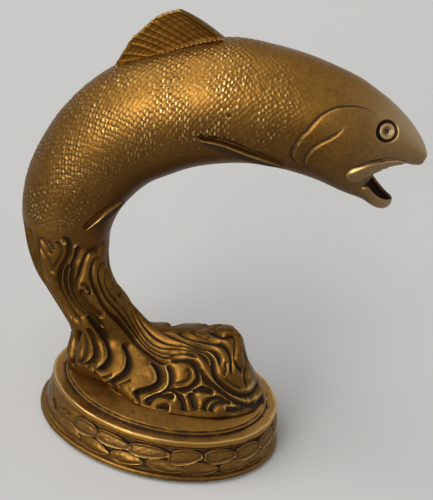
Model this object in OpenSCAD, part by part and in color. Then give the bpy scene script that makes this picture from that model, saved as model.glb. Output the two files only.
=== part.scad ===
// Leaping trout on a swirl of water, cast in brass, on an oval plinth with a laurel band.
// Millimetres. The origin is the centre of the underside, +X runs towards the fish's head,
// -Y is the fish's right flank and +Z is up.

/* [Figure] */
// Length from the rear of the arched back to the snout
span_l = 107.8; // [96:0.1:118]
// Height of the crown of the back above the seat of the water
rise_h = 109.2; // [98:0.1:120]
// Width of the body at its thickest
body_w = 27.2; // [23:0.1:30]
// Wall of the hollow fish casting
wall_t = 2.6; // [2.2:0.1:3.4]
// How far the gill covers stand proud
gill_rise = 0.7; // [0.3:0.1:1]
// Thickness of the lower jaw at its sides
jaw_t = 1.4; // [1:0.1:1.8]
// Thickness of the lower jaw at its floor
jaw_floor_t = 2.4; // [2.2:0.1:2.8]
// Width of the tongue that keys the jaw into the throat
tongue_w = 5; // [4:0.1:6]
// Height of the jaw's tongue
tongue_h = 1.4; // [1:0.1:1.6]
// Length of the jaw's tongue
tongue_l = 3; // [2:0.1:3.5]

/* [Tail joint] */
// Width of the shoulder where the fish meets the water
shoulder_w = 2.8; // [2.2:0.1:3.4]
// Length of the tail spigot
spigot_l = 12; // [9:0.5:14]
// Wall of the tail spigot
spigot_t = 2.2; // [1.8:0.1:2.6]
// Gap round and under the tail spigot
spigot_gap = 0.15; // [0.08:0.01:0.25]

/* [Eyes] */
// Diameter of the eye's disc
eye_d = 4.4; // [3.8:0.1:5]
// Height of the eye's disc
eye_h = 1.3; // [1:0.1:1.6]
// Height and width of the raised ring round the eye
eye_ring = 0.5; // [0.3:0.1:0.7]
// Diameter of the pupil's dimple
pupil_d = 2; // [1.6:0.1:2.4]
// Depth of the pupil's dimple
pupil_deep = 0.5; // [0.3:0.1:0.7]
// Diameter of the sunk ring that the eye stands in
socket_d = 6.4; // [5.8:0.1:7]
// Depth of the sunk ring
socket_deep = 1.2; // [0.9:0.1:1.5]
// Diameter of the eye's shank
shank_d = 2; // [1.6:0.1:2.2]
// Length of the eye's shank
shank_l = 2.4; // [1.8:0.1:2.6]

/* [Fins] */
// Thickness of the dorsal fin at its root
dorsal_t = 2.6; // [2:0.1:3.2]
// Thickness of the dorsal fin at its edge
dorsal_edge_t = 1.3; // [1:0.1:1.6]
// Rise of the dorsal fin's peak above the back
dorsal_rise = 11.3; // [9:0.1:13]
// Depth of the fin's rays below its surface
ray_deep = 0.28; // [0.1:0.01:0.4]
// Rays across the dorsal fin
ray_count = 10; // [7:1:12]
// Length of the dorsal fin's tenon
tenon_l = 16; // [12:0.5:18]
// Thickness of the dorsal fin's tenon
tenon_t = 1.6; // [1.2:0.1:1.8]
// Depth of the dorsal fin's tenon
tenon_deep = 2; // [1.5:0.1:2.1]
// Thickness of the side fins at their leading edge
side_fin_t = 1.3; // [1:0.1:1.6]
// Thickness of the side fins at their trailing edge
side_edge_t = 0.5; // [0.3:0.05:0.8]
// Diameter of the side fins' pegs
peg_d = 1.8; // [1.4:0.1:2.2]
// Length of the side fins' pegs
peg_l = 1.8; // [1.4:0.1:2]
// Clearance of tenons, pegs and shanks in their holes
fit_gap = 0.04; // [0.02:0.01:0.08]
// Solder line between a fin and the skin under it
seam_gap = 0.12; // [0.1:0.01:0.2]

/* [Water] */
// How far the water's lip stands proud of the fish
lip_rise = 0.3; // [0.1:0.1:0.6]
// Depth of the folds in the water
fold_deep = 1.3; // [0.8:0.1:1.5]
// Width of a fold, from its middle to where it fades
fold_w = 1.4; // [1.1:0.1:1.9]
// Gap under the water's skirt where it laps over the plinth
skirt_gap = 0.06; // [0.04:0.01:0.1]

/* [Base] */
// Length of the plinth at its foot
base_l = 73; // [68:0.5:80]
// Width of the plinth at its foot
base_w = 61; // [57:0.5:67]
// Height of the laurel band
band_h = 10.2; // [9.8:0.1:12]
// Wall of the laurel band round the closing plate
band_wall = 3.6; // [3:0.1:4]
// Width of the ledge that the closing plate pulls against
ledge_w = 3.1; // [2.5:0.1:3.6]
// Width of the plain strip under the leaves, at the foot
strip_h = 1.5; // [1:0.1:2]
// How far the leaves stand proud
leaf_rise = 0.95; // [0.5:0.05:1.1]
// Leaves in each of the two rows
leaf_count = 20; // [18:1:22]
// Height of the rounded bead above the leaves
bead_h = 2.2; // [1.8:0.1:2.6]
// Depth of the grooves above the bead
groove_deep = 1; // [0.6:0.1:1.3]
// Height from the bead to the rim of the plinth's top
neck_h = 1.6; // [1.3:0.1:2]
// Rise of the plinth's top from its rim to the seat
crown_h = 1.6; // [1.2:0.1:2]
// Depth of the hollow under the plinth's top
hollow_deep = 1.2; // [0.8:0.1:1.4]

/* [Fastening] */
// Thickness of the felt pad
felt_t = 1.2; // [1:0.1:1.6]
// Thickness of the closing plate
plate_t = 1.8; // [1.5:0.1:2]
// Gap round the closing plate
plate_gap = 0.2; // [0.1:0.05:0.3]
// Diameter of the tie rod
rod_d = 5; // [4:0.5:6]
// How deep the tie rod reaches into the water
rod_deep = 12; // [9:0.5:13]
// Rod left standing below the nut
rod_tail = 0.5; // [0.3:0.1:0.7]
// Clearance of the rod through the plate and the plinth
rod_gap = 0.2; // [0.15:0.05:0.3]
// Thickness of the nut
nut_t = 4; // [3.2:0.1:4.4]
// Width of the nut across its flats
nut_w = 8; // [7.5:0.1:9]
// Diameter of the washer
washer_d = 11; // [10:0.5:12]
// Thickness of the washer
washer_t = 1; // [0.8:0.1:1.2]
// Diameter of the locating pins
pin_d = 3; // [2.5:0.1:3.5]
// Length of the locating pins, half in the plinth and half in the water
pin_l = 7; // [5:0.5:8]

/* [Hidden] */

// Cuts run past the faces that they open by this much
overrun = 1;
// Rod's end to felt, below the nut
felt_gap = 0.5;

// Heights of the plinth's pieces, from the felt up
base_a = base_l / 2;
oval_share = base_w / base_l;
nut_z = felt_t + felt_gap + rod_tail;
washer_z = nut_z + nut_t;
plate_z = washer_z + washer_t;
ledge_z = plate_z + plate_t;
band_top = felt_t + band_h;
rim_z = band_top + bead_h + neck_h;
seat_z = rim_z + crown_h;

// Half lengths of the plinth's ovals; each is as wide as oval_share says
foot_set = 0.2;
strip_step = 1;
lean_in = 1.8;
felt_set = 0.9;
foot_a = base_a - foot_set;
leaf_a = foot_a - strip_step;
band_a = leaf_a - lean_in + strip_step * 0.5;
pocket_a = leaf_a - band_wall;
ledge_a = pocket_a - ledge_w;
rim_a_share = 0.822;
seat_a_share = 0.6;
rim_a = base_a * rim_a_share;
seat_a = base_a * seat_a_share;
rim_b = rim_a * oval_share;

// Places along the plinth of the tie rod and of the two locating pins, as shares of its half length
rod_share = -0.28;
pin_shares = [-0.62, 0.34];

// Mesh counts
around_fish = 32;
around_water = 92;
water_steps = 4;
fold_steps = 6;
around_band = 144;
around_oval = 96;
band_rows = 9;
jaw_rows = 9;

// Outlines of the fish as seen from the side. Each row is one section: the back's point, then the
// belly's point, as shares of span_l along X and of rise_h above the seat, then the half width as
// a share of body_w, then how far up the section it is widest.
head_shares = [
    [0.5245, 0.811, 0.5250, 0.793, 0.035, 0.5],
    [0.5140, 0.830, 0.5185, 0.779, 0.105, 0.45],
    [0.4935, 0.855, 0.5010, 0.774, 0.160, 0.42],
    [0.4655, 0.881, 0.4777, 0.774, 0.210, 0.42],
    [0.4340, 0.905, 0.4499, 0.770, 0.250, 0.43],
    [0.3990, 0.927, 0.4174, 0.756, 0.282, 0.44]];
body_shares = [
    [0.3738, 0.9395, 0.3850, 0.6570, 0.323, 0.52],
    [0.3200, 0.9635, 0.3247, 0.6695, 0.368, 0.51],
    [0.2505, 0.9810, 0.2551, 0.6830, 0.412, 0.50],
    [0.1716, 0.9945, 0.1763, 0.6905, 0.449, 0.50],
    [0.0835, 1.0000, 0.0974, 0.6877, 0.478, 0.50],
    [-0.0046, 0.9972, 0.0232, 0.6703, 0.496, 0.50],
    [-0.0928, 0.9680, -0.0464, 0.6429, 0.500, 0.50],
    [-0.1855, 0.9231, -0.1039, 0.6062, 0.493, 0.50],
    [-0.2737, 0.8727, -0.1484, 0.5723, 0.482, 0.50],
    [-0.3479, 0.8013, -0.1855, 0.5238, 0.467, 0.50],
    [-0.4082, 0.7125, -0.2115, 0.4744, 0.452, 0.50],
    [-0.4471, 0.6200, -0.2236, 0.4322, 0.438, 0.50],
    [-0.4675, 0.5421, -0.2282, 0.4002, 0.416, 0.50],
    [-0.4731, 0.4689, -0.2273, 0.3773, 0.401, 0.50],
    [-0.4675, 0.4094, -0.2254, 0.3617, 0.386, 0.50]];
rim_s = len(body_shares) - 1;

// Rear edge of the gill cover: angle down from the back, then station along the body
gill_shares = [[40, 0.2], [50, 1.3], [56, 1.7], [65, 2.1], [76, 2.4], [86, 2.6], [98, 2.8], [112, 2.9],
    [140, 2.9], [165, 2.2]];
// Stations over which the cover's edge drops to the skin, and over which the cover rises behind the jaw
gill_edge_share = 0.35;
gill_from_share = -0.6;
gill_run_share = 1.6;

// Lower jaw from the throat to its tip: place along X, floor and rim heights, and half width
jaw_shares = [
    [0.3940, 0.6550, 0.7080, 0.256],
    [0.4130, 0.6470, 0.6910, 0.232],
    [0.4340, 0.6390, 0.6760, 0.190],
    [0.4530, 0.6380, 0.6670, 0.132],
    [0.4650, 0.6440, 0.6660, 0.072],
    [0.4700, 0.6530, 0.6650, 0.030]];

// Dorsal fin: station of the root along the body, then the free edge from rear root to peak, as
// shares of the fin's length back from its front root and of dorsal_rise above the chord
dorsal_root_shares = [5.25, 8.2];
dorsal_edge_shares = [[1.0, 0.03], [0.964, 0.135], [0.809, 0.54], [0.699, 0.718], [0.594, 0.873],
    [0.49, 0.985], [0.404, 1.0], [0.316, 0.981]];
dorsal_bow_share = 0.1;
dorsal_fan_share = 0.64;
tenon_mid_share = 0.48;

// Side fins: leading edge from root to tip as [station, angle down from the back], then the
// widest spread of the blade in degrees, and the peg's place along and across the blade
pectoral_shares = [[3.0, 141], [3.95, 127], [4.9, 113], [5.75, 105]];
pectoral_angle = 27;
pelvic_shares = [[9.35, 148], [10.25, 135], [11.0, 127], [11.9, 119]];
pelvic_angle = 24;
peg_u_share = 0.3;
peg_v_share = 0.38;

// Eye's place on the head: station and angle down from the back
eye_share = 4.85;
eye_angle = 65;

// Upper column of the water: the rear point and the front point of each section as shares of
// span_l and rise_h, then the half width as a share of body_w
column_shares = [
    [-0.4415, 0.3180, -0.2160, 0.3060, 0.377],
    [-0.4035, 0.2418, -0.1900, 0.2500, 0.368],
    [-0.3570, 0.1832, -0.1380, 0.1960, 0.366]];

// Lower water, from the neck to the foot. Each row runs from the rear point round the right side
// to the front point: shares of rim_a along X, of rim_b across, and of swell_h above the seat.
swell_share = 0.385;
swell_shares = [
    [[-1.143, 0, 0.371], [-1.100, 0.208, 0.357], [-0.967, 0.360, 0.338], [-0.767, 0.420, 0.326],
        [-0.533, 0.350, 0.310], [-0.310, 0.200, 0.340], [-0.180, 0, 0.372]],
    [[-1.033, 0, 0.262], [-1.000, 0.232, 0.248], [-0.867, 0.412, 0.231], [-0.600, 0.504, 0.219],
        [-0.267, 0.412, 0.255], [0.067, 0.230, 0.345], [0.183, 0, 0.408]],
    [[-1.030, 0, 0.176], [-0.993, 0.264, 0.162], [-0.817, 0.480, 0.148], [-0.450, 0.576, 0.143],
        [0.020, 0.480, 0.260], [0.380, 0.290, 0.405], [0.495, 0, 0.498]],
    [[-1.037, 0, 0.100], [-0.987, 0.288, 0.090], [-0.720, 0.500, 0.081], [-0.270, 0.660, 0.081],
        [0.210, 0.570, 0.170], [0.560, 0.330, 0.315], [0.640, 0, 0.425]],
    [[-1.040, 0, 0.038], [-0.950, 0.290, 0.033], [-0.660, 0.480, 0.029], [-0.190, 0.715, 0.029],
        [0.360, 0.625, 0.070], [0.680, 0.365, 0.165], [0.750, 0, 0.245]],
    [[-1.013, 0, 0], [-0.930, 0.270, 0], [-0.630, 0.440, 0], [-0.150, 0.755, 0],
        [0.450, 0.700, 0], [0.860, 0.400, 0], [1.000, 0, 0]]];

// Smooth curve through four points
function curve(a, b, c, d, t) =
    0.5 * (2 * b + (c - a) * t + (2 * a - 5 * b + 4 * c - d) * t * t + (3 * b - a - 3 * c + d) * t * t * t);

// Entry of a list, held at its ends
function held(v, i) = v[max(0, min(len(v) - 1, i))];

// Value along a list of rows at a fractional place
function along(v, s) =
    let (i = max(0, min(len(v) - 2, floor(s))))
    curve(held(v, i - 1), held(v, i), held(v, i + 1), held(v, i + 2), s - i);

// Value along a closed list of points
function looped(v, s) =
    let (n = len(v), i = floor(s))
    curve(v[(i - 1 + n) % n], v[(i + n) % n], v[(i + 1) % n], v[(i + 2) % n], s - i);

// Smooth step from 0 to 1
function eased(t) = let (u = max(0, min(1, t))) u * u * (3 - 2 * u);

// A point of the side view, from its shares
function place(x_share, z_share) = [x_share * span_l, 0, seat_z + z_share * rise_h];

// Station of the gill cover's rear edge at an angle down from the back
function gill_at(a) =
    let (n = len(gill_shares),
        k = [for (i = [0 : n - 2]) if (a >= gill_shares[i][0] && a < gill_shares[i + 1][0]) i])
    len(k) == 0 ? 0 : let (p = gill_shares[k[0]], q = gill_shares[k[0] + 1])
        p[1] + (q[1] - p[1]) * (a - p[0]) / (q[0] - p[0]);

// How far the gill cover lifts the skin
function gill_lift(s, a) =
    gill_rise * eased((gill_at(abs(a)) - s) / gill_edge_share)
        * eased((s - gill_from_share) / gill_run_share);

// Point of the skin: rows of shares, station, angle from the back (negative to the right), lift
function skin(rows, s, a, lift = 0) =
    let (r = along(rows, s),
        back = place(r[0], r[1]),
        belly = place(r[2], r[3]),
        mid = belly + (back - belly) * r[5],
        arm = cos(a) >= 0 ? back - mid : mid - belly)
    mid + arm * cos(a) * (1 + lift / norm(arm)) + [0, sin(a) * (r[4] * body_w + lift), 0];

function body_skin(s, a) = skin(body_shares, s, a, gill_lift(s, a));

// Outward direction of the skin, from two short steps along it
step_s = 0.05;
step_a = 1;
function skin_out(rows, s, a) =
    let (u = skin(rows, s + step_s, a) - skin(rows, s - step_s, a),
        v = skin(rows, s, a + step_a) - skin(rows, s, a - step_a),
        n = cross(v, u))
    n / norm(n);

// One closed section of n points
function section(rows, s, n, lift = 0, sense = 1) =
    [for (i = [0 : n - 1]) skin(rows, s, sense * 360 * i / n, lift)];
function body_section(s) =
    [for (i = [0 : around_fish - 1]) body_skin(s, let (a = 360 * i / around_fish) a > 180 ? a - 360 : a)];

// Direction of the tail spigot, from the section where fish and water meet down the column
function middle(r) = (place(r[0], r[1]) + place(r[2], r[3])) / 2;
spigot_dir = let (d = middle(column_shares[1]) - middle(body_shares[rim_s])) d / norm(d);

// Ring of the spigot or of its socket at a depth below the shoulder
function spigot_ring(n, deep, lift, sense = 1) =
    [for (p = section(body_shares, rim_s, n, lift - shoulder_w, sense)) p + spigot_dir * deep];

// Height of the plinth's top at a point
function top_z(p) = let (e = norm([p[0], p[1] / oval_share]))
    seat_z - crown_h * max(0, e - seat_a) / (rim_a - seat_a);

function turned(v) = [for (i = [len(v) - 1 : -1 : 0]) v[i]];
function total(v, i = 0) = i == len(v) - 1 ? v[i] : v[i] + total(v, i + 1);
function mean(v) = total(v) / len(v);

// Closed solid through a chain of equal rings; both ends are closed with a fan. Over the first
// turned_share of each ring the faces are split along their other diagonal.
module ring_chain(rings, turned_share = 0) {
    n = len(rings[0]);
    m = len(rings);
    points = concat([for (r = rings) each r], [mean(rings[0]), mean(rings[m - 1])]);
    faces = concat(
        [for (j = [0 : m - 2], i = [0 : n - 1]) let (a = j * n + i, b = j * n + (i + 1) % n)
            each i < n * turned_share ? [[a, b, a + n], [b, b + n, a + n]]
                : [[a, b, b + n], [a, b + n, a + n]]],
        [for (i = [0 : n - 1]) [m * n, (i + 1) % n, i]],
        [for (i = [0 : n - 1]) [m * n + 1, (m - 1) * n + i, (m - 1) * n + (i + 1) % n]]);
    polyhedron(points = points, faces = faces);
}

// Closed solid of a blade from two equal grids: its outer face and its inner face
module blade(outer, inner) {
    m = len(outer);
    n = len(outer[0]);
    k = m * n;
    points = concat([for (r = outer) each r], [for (r = inner) each r]);
    edge = concat([for (i = [0 : n - 2]) i], [for (j = [0 : m - 2]) j * n + n - 1],
        [for (i = [n - 1 : -1 : 1]) (m - 1) * n + i], [for (j = [m - 1 : -1 : 1]) j * n]);
    faces = concat(
        [for (j = [0 : m - 2], i = [0 : n - 2]) let (a = j * n + i)
            each [[a, a + 1, a + n + 1], [a, a + n + 1, a + n]]],
        [for (j = [0 : m - 2], i = [0 : n - 2]) let (a = k + j * n + i)
            each [[a, a + n + 1, a + 1], [a, a + n, a + n + 1]]],
        [for (i = [0 : len(edge) - 1]) let (a = edge[i], b = edge[(i + 1) % len(edge)])
            each [[a, a + k, b + k], [a, b + k, b]]]);
    polyhedron(points = points, faces = faces);
}

// Oval plate
module oval(half_l, h) {
    linear_extrude(height = h)
        polygon([for (i = [0 : around_oval - 1]) let (a = 360 * i / around_oval)
            [half_l * cos(a), half_l * oval_share * sin(a)]]);
}

// Moves children to a point, with their +Z along a direction
module facing(p, d) {
    translate(p) rotate([0, acos(d[2]), atan2(d[1], d[0])]) children();
}

module upright(x_share, z) {
    translate([x_share * base_a, 0, z]) children();
}

module felt_pad() {
    color("darkolivegreen") oval(foot_a - felt_set, felt_t);
}

module base_plate() {
    color("darkgoldenrod") translate([0, 0, plate_z])
        difference() {
            oval(pocket_a - plate_gap, plate_t);
            upright(rod_share, -overrun)
                cylinder(d = rod_d + 2 * rod_gap, h = plate_t + 2 * overrun, $fn = 48);
        }
}

// Leaves: their middles and half widths as shares of the way up the band, their length as a share
// of their pitch, how far each leans up towards its tip, and how high its stem end lies
leaf_rows_share = [0.29, 0.71];
leaf_long_share = 1.34;
leaf_half_share = 0.27;
leaf_lean_share = 0.05;
leaf_low_share = 0.7;
leaf_least_share = 0.01;

// Height of one leaf as a share of leaf_rise, at a place p along it (-1 to 1) and q across it
function leaf_dome(p, q) =
    let (half = leaf_half_share * sqrt(max(0, 1 - pow(abs(p), 2.4))))
    half <= leaf_least_share ? 0
        : max(0, 1 - pow(abs(q) / half, 3.2)) * (leaf_low_share + (1 - leaf_low_share) * p);

// Highest leaf at a turn round the band and a share of the way up it
function leaf_lift(turn, up) =
    max([for (row = [0, 1], k = [-1, 0, 1])
        let (f = turn * leaf_count + row / 2, c = floor(f) + 1 / 2 + k,
            p = 2 * (f - c) / leaf_long_share, q = up - leaf_rows_share[row] - leaf_lean_share * p)
        abs(p) < 1 ? leaf_dome(p, q) : 0]);

// Section of the band at a turn round it, as half lengths and heights
function band_section(turn) =
    let (low = felt_t + strip_h, top = band_top - strip_h / 3,
        rows = [for (i = [0 : band_rows]) let (up = i / band_rows, swell = strip_step * 0.4 * sin(180 * up))
            [leaf_a + (band_a - leaf_a) * up + swell - leaf_rise / 2 + leaf_rise * leaf_lift(turn, up),
                low + (top - low) * up]])
    concat([[foot_a, felt_t], [foot_a + foot_set, felt_t + strip_h * 0.6],
        [foot_a - foot_set, low - strip_h * 0.1]], rows,
        [[band_a - foot_set, band_top], [ledge_a, band_top], [ledge_a, ledge_z],
        [pocket_a, ledge_z], [pocket_a, felt_t]]);

module leaf_band() {
    rings = [for (i = [0 : around_band - 1]) let (turn = i / around_band, a = 360 * turn)
        [for (p = band_section(turn)) [p[0] * cos(a), p[0] * oval_share * sin(a), p[1]]]];
    n = len(rings[0]);
    m = around_band;
    color("goldenrod") polyhedron(points = [for (r = rings) each r],
        faces = [for (j = [0 : m - 1], i = [0 : n - 1])
            let (next_j = (j + 1) % m, next_i = (i + 1) % n, a = j * n + i, c = next_j * n + next_i)
            each [[a, j * n + next_i, c], [a, c, next_j * n + i]]]);
}

module plinth_cap() {
    bead_r = bead_h / 2;
    bead_a = band_a - bead_r * 0.8;
    groove_z = band_top + bead_h;
    spigot_a = ledge_a - plate_gap;
    low = band_top - (band_top - ledge_z) * 0.85;
    color("peru") difference() {
        scale([1, oval_share, 1]) rotate_extrude($fn = 144) {
            polygon([[0, low + hollow_deep], [spigot_a * 0.86, low + hollow_deep],
                [spigot_a * 0.88, low], [spigot_a, low], [spigot_a, band_top],
                [bead_a, band_top], [bead_a, groove_z], [rim_a + groove_deep * 0.9, groove_z],
                [rim_a + groove_deep * 0.2, groove_z + neck_h * 0.12],
                [rim_a + groove_deep * 0.5, groove_z + neck_h * 0.5],
                [rim_a - groove_deep * 0.3, groove_z + neck_h * 0.62], [rim_a, rim_z],
                [seat_a, seat_z], [0, seat_z]]);
            translate([bead_a, band_top + bead_r]) circle(r = bead_r, $fn = 48);
        }
        upright(rod_share, felt_t) cylinder(d = rod_d + 2 * rod_gap, h = seat_z, $fn = 48);
        for (s = pin_shares) upright(s, seat_z - pin_l / 2 - fit_gap)
            cylinder(d = pin_d + 2 * fit_gap, h = pin_l, $fn = 48);
    }
}

// Full row of the swell, with the left side mirrored from the right
function swell_row(row) =
    concat([for (p = row) [p[0], -p[1], p[2]]], [for (i = [len(row) - 2 : -1 : 1]) row[i]]);

// Point of the swell or of the upper column, at a turn from the rear round the right side
function swell_point(row, turn) =
    let (p = looped(swell_row(row), 2 * (len(row) - 1) * turn))
    [p[0] * rim_a, p[1] * rim_b, seat_z + p[2] * swell_share * rise_h];
function column_point(r, turn) =
    let (a = -360 * turn, rear = place(r[0], r[1]), front = place(r[2], r[3]))
    (rear + front) / 2 + (rear - front) / 2 * cos(a) + [0, r[4] * body_w * sin(a), 0];

// Point of one of the water's control rows, counted from the rim down
function water_row(k, turn) =
    k == 0 ? skin(body_shares, rim_s, -360 * turn, lip_rise)
    : k <= len(column_shares) ? column_point(column_shares[k - 1], turn)
    : swell_point(swell_shares[k - len(column_shares) - 1], turn);
foot_s = len(column_shares) + len(swell_shares);
function water_point(s, turn) =
    let (i = max(0, min(foot_s - 1, floor(s))))
    curve(water_row(max(0, i - 1), turn), water_row(i, turn), water_row(i + 1, turn),
        water_row(min(foot_s, i + 2), turn), s - i);

// Share of a ring that is the right half
right_half_share = 0.5;
// How far the flat sole of the water runs past the seat
sole_lap = 0.3;

// Folds of the water's right side, which the left side mirrors: the points that each runs through,
// as stations down the water and turns from the rear
fold_shares = [
    [[0.2, 0.285], [1.0, 0.245], [2.1, 0.2], [3.1, 0.195], [3.8, 0.2], [4.6, 0.165], [5.6, 0.13], [6.8, 0.115]],
    [[0.2, 0.365], [1.2, 0.315], [1.9, 0.275], [2.9, 0.265], [3.7, 0.288], [4.6, 0.274], [5.6, 0.224],
        [6.7, 0.182]],
    [[0.3, 0.43], [1.5, 0.405], [2.5, 0.393], [3.3, 0.393], [4, 0.391], [4.9, 0.356], [5.6, 0.345],
        [6.6, 0.318], [7.2, 0.292], [8, 0.26]],
    [[1.1, 0.461], [2.2, 0.443], [3.1, 0.44], [3.9, 0.425], [4.8, 0.4], [5.4, 0.396], [6.1, 0.389],
        [6.8, 0.385], [7.5, 0.386], [8.2, 0.413], [8.5, 0.45], [8.5, 0.5]],
    [[2.9, 0.486], [3.6, 0.474], [4.2, 0.455], [4.9, 0.443], [6, 0.425], [6.8, 0.43], [7.5, 0.422]],
    [[3.5, 0.226], [4.3, 0.238], [5.2, 0.208], [6.4, 0.164]],
    [[4.1, 0.341], [4.9, 0.305], [5.8, 0.263], [6.9, 0.215], [7.7, 0.196]],
    [[6.2, 0.366], [6.8, 0.357], [7.4, 0.327], [8.4, 0.31]],
    [[8.3, 0.33], [8, 0.346], [8.1, 0.372], [8.4, 0.394]],
    [[5.9, 0.455], [6.8, 0.463], [7.7, 0.458]],
    [[0.3, 0.06], [1.4, 0.075], [2.8, 0.055], [4, 0.07], [5.2, 0.05], [6.6, 0.06]],
    [[0.2, 0.165], [1.1, 0.145], [2.2, 0.12], [3.3, 0.125]]];

// Stations over which the folds deepen below the lip and fade above the foot
fold_in_share = 0.7;
fold_out_share = 0.8;
fold_points = [for (f = fold_shares) each [for (i = [0 : fold_steps * (len(f) - 1)])
    let (q = along(f, i / fold_steps)) water_point(q[0], q[1])]];

// Outward direction of the water, from two short steps along it
step_turn = 0.003;
function water_out(s, turn) =
    let (n = cross(water_point(s + step_s, turn) - water_point(s - step_s, turn),
        water_point(s, turn + step_turn) - water_point(s, turn - step_turn)))
    n / norm(n);

// Depth of the folds at a point of the water and a station down it
function fold_at(p, s) =
    let (right = [p[0], -abs(p[1]), p[2]], d = min([for (f = fold_points) norm(right - f)]))
    fold_deep * exp(-pow(d / fold_w, 2)) * eased(s / fold_in_share) * eased((foot_s - s) / fold_out_share);
function water_ring(s) =
    [for (i = [0 : around_water - 1]) let (turn = i / around_water, p = water_point(s, turn))
        p - water_out(s, turn) * fold_at(p, s)];

module water_column() {
    foot = [for (p = water_ring(foot_s)) [p[0], p[1], top_z(p) + skirt_gap]];
    sole = [for (p = foot) let (e = norm([p[0], p[1] / oval_share]), k = min(1, (seat_a + sole_lap) / e))
        [p[0] * k, p[1] * k, seat_z]];
    socket_end = spigot_l + spigot_gap;
    step = 1 / water_steps;
    rings = concat(
        [for (k = [1, 1 / 2, 0]) spigot_ring(around_water, socket_end * k, spigot_gap, -1)],
        [for (s = [0 : step : foot_s - step / 2]) water_ring(s)],
        [foot, sole]);
    color("sienna") difference() {
        ring_chain(rings, right_half_share);
        upright(rod_share, seat_z - overrun)
            cylinder(d = rod_d + 2 * fit_gap, h = rod_deep + overrun + fit_gap, $fn = 48);
        for (s = pin_shares) upright(s, seat_z - overrun)
            cylinder(d = pin_d + 2 * fit_gap, h = pin_l / 2 + overrun + fit_gap, $fn = 48);
    }
}

module tie_rod() {
    low = nut_z - rod_tail;
    rod_l = seat_z + rod_deep - low;
    rod_r = rod_d / 2;
    chamfer = rod_d * 0.1;
    color("silver") upright(rod_share, low) rotate_extrude($fn = 48)
        polygon([[0, 0], [rod_r - chamfer, 0], [rod_r, chamfer], [rod_r, rod_l - chamfer],
            [rod_r - chamfer, rod_l], [0, rod_l]]);
}

module washer() {
    color("silver") upright(rod_share, washer_z) difference() {
        cylinder(d = washer_d, h = washer_t, $fn = 64);
        translate([0, 0, -overrun]) cylinder(d = rod_d + 2 * rod_gap, h = washer_t + 2 * overrun, $fn = 48);
    }
}

module nut() {
    color("silver") upright(rod_share, nut_z) difference() {
        cylinder(d = nut_w / cos(30), h = nut_t, $fn = 6);
        translate([0, 0, -overrun]) cylinder(d = rod_d + 2 * fit_gap, h = nut_t + 2 * overrun, $fn = 48);
    }
}

module locating_pins() {
    color("silver") for (s = pin_shares) upright(s, seat_z - pin_l / 2)
        cylinder(d = pin_d, h = pin_l, $fn = 48);
}

// Ends of the dorsal fin's root on the back, and the frame of its side view
dorsal_front = skin(body_shares, dorsal_root_shares[0], 0);
dorsal_rear = skin(body_shares, dorsal_root_shares[1], 0);
dorsal_l = norm(dorsal_front - dorsal_rear);
dorsal_along = (dorsal_rear - dorsal_front) / dorsal_l;
dorsal_up = cross([0, 1, 0], dorsal_along);
function dorsal_root(share) =
    dorsal_root_shares[0] + (dorsal_root_shares[1] - dorsal_root_shares[0]) * share;
dorsal_mid = skin(body_shares, dorsal_root(tenon_mid_share), 0);

// Tenon of the dorsal fin, grown by a gap for its slot
module tenon(gap, reach) {
    h = tenon_deep + gap + reach;
    d = [dorsal_up[0], dorsal_up[2]];
    translate(dorsal_mid) rotate([0, atan2(d[0], d[1]), 0])
        translate([-tenon_l / 2 - gap, -tenon_t / 2 - gap, -tenon_deep - gap])
            cube([tenon_l + 2 * gap, tenon_t + 2 * gap, h]);
}

module side_peg(edge, spread, side, gap, reach) {
    s = along(edge, peg_u_share * (len(edge) - 1));
    a = side * (s[1] + spread * peg_v_share);
    p = skin(body_shares, s[0], a);
    facing(p, skin_out(body_shares, s[0], a)) translate([0, 0, -peg_l - gap])
        cylinder(d = peg_d + 2 * gap, h = peg_l + gap + reach, $fn = 24);
}

// Sunk ring and hole for an eye
module eye_seat(side) {
    p = skin(head_shares, eye_share, side * eye_angle);
    facing(p, skin_out(head_shares, eye_share, side * eye_angle)) {
        translate([0, 0, -socket_deep]) cylinder(d = socket_d, h = socket_deep + 2 * overrun, $fn = 48);
        translate([0, 0, -socket_deep - shank_l - fit_gap])
            cylinder(d = shank_d + 2 * fit_gap, h = shank_l + overrun, $fn = 32);
    }
}

jaw_root = place(jaw_shares[0][0], jaw_shares[0][1]);
module jaw_tongue(gap, reach) {
    low = jaw_root[2] + jaw_floor_t - tongue_h * 0.75;
    translate([jaw_root[0] - tongue_l - gap, -tongue_w / 2 - gap, low - gap])
        cube([tongue_l + gap + reach, tongue_w + 2 * gap, tongue_h + 2 * gap]);
}

module fish_body() {
    outer = concat(
        [for (s = [0 : 0.5 : len(head_shares) - 1]) section(head_shares, s, around_fish)],
        [for (s = [0 : 0.25 : 2.75]) body_section(s)],
        [for (s = [3 : 0.5 : rim_s]) body_section(s)]);
    spigot = concat([spigot_ring(around_fish, 0, 0)], [spigot_ring(around_fish, spigot_l, 0)],
        [spigot_ring(around_fish, spigot_l, -spigot_t)], [spigot_ring(around_fish, 0, -spigot_t)]);
    inner = [for (s = [rim_s - 1 : -1 : 1]) section(body_shares, s, around_fish, -wall_t)];
    color("peru") difference() {
        ring_chain(turned(concat(outer, spigot, inner)));
        tenon(fit_gap, overrun);
        jaw_tongue(fit_gap, overrun);
        for (side = [-1, 1]) {
            eye_seat(side);
            side_peg(pectoral_shares, pectoral_angle, side, fit_gap, overrun);
            side_peg(pelvic_shares, pelvic_angle, side, fit_gap, overrun);
        }
    }
}

// How far the jaw's floor thins towards its tip, and the most of a section that its wall takes
jaw_thin_share = 0.6;
jaw_solid_share = 0.6;

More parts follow.
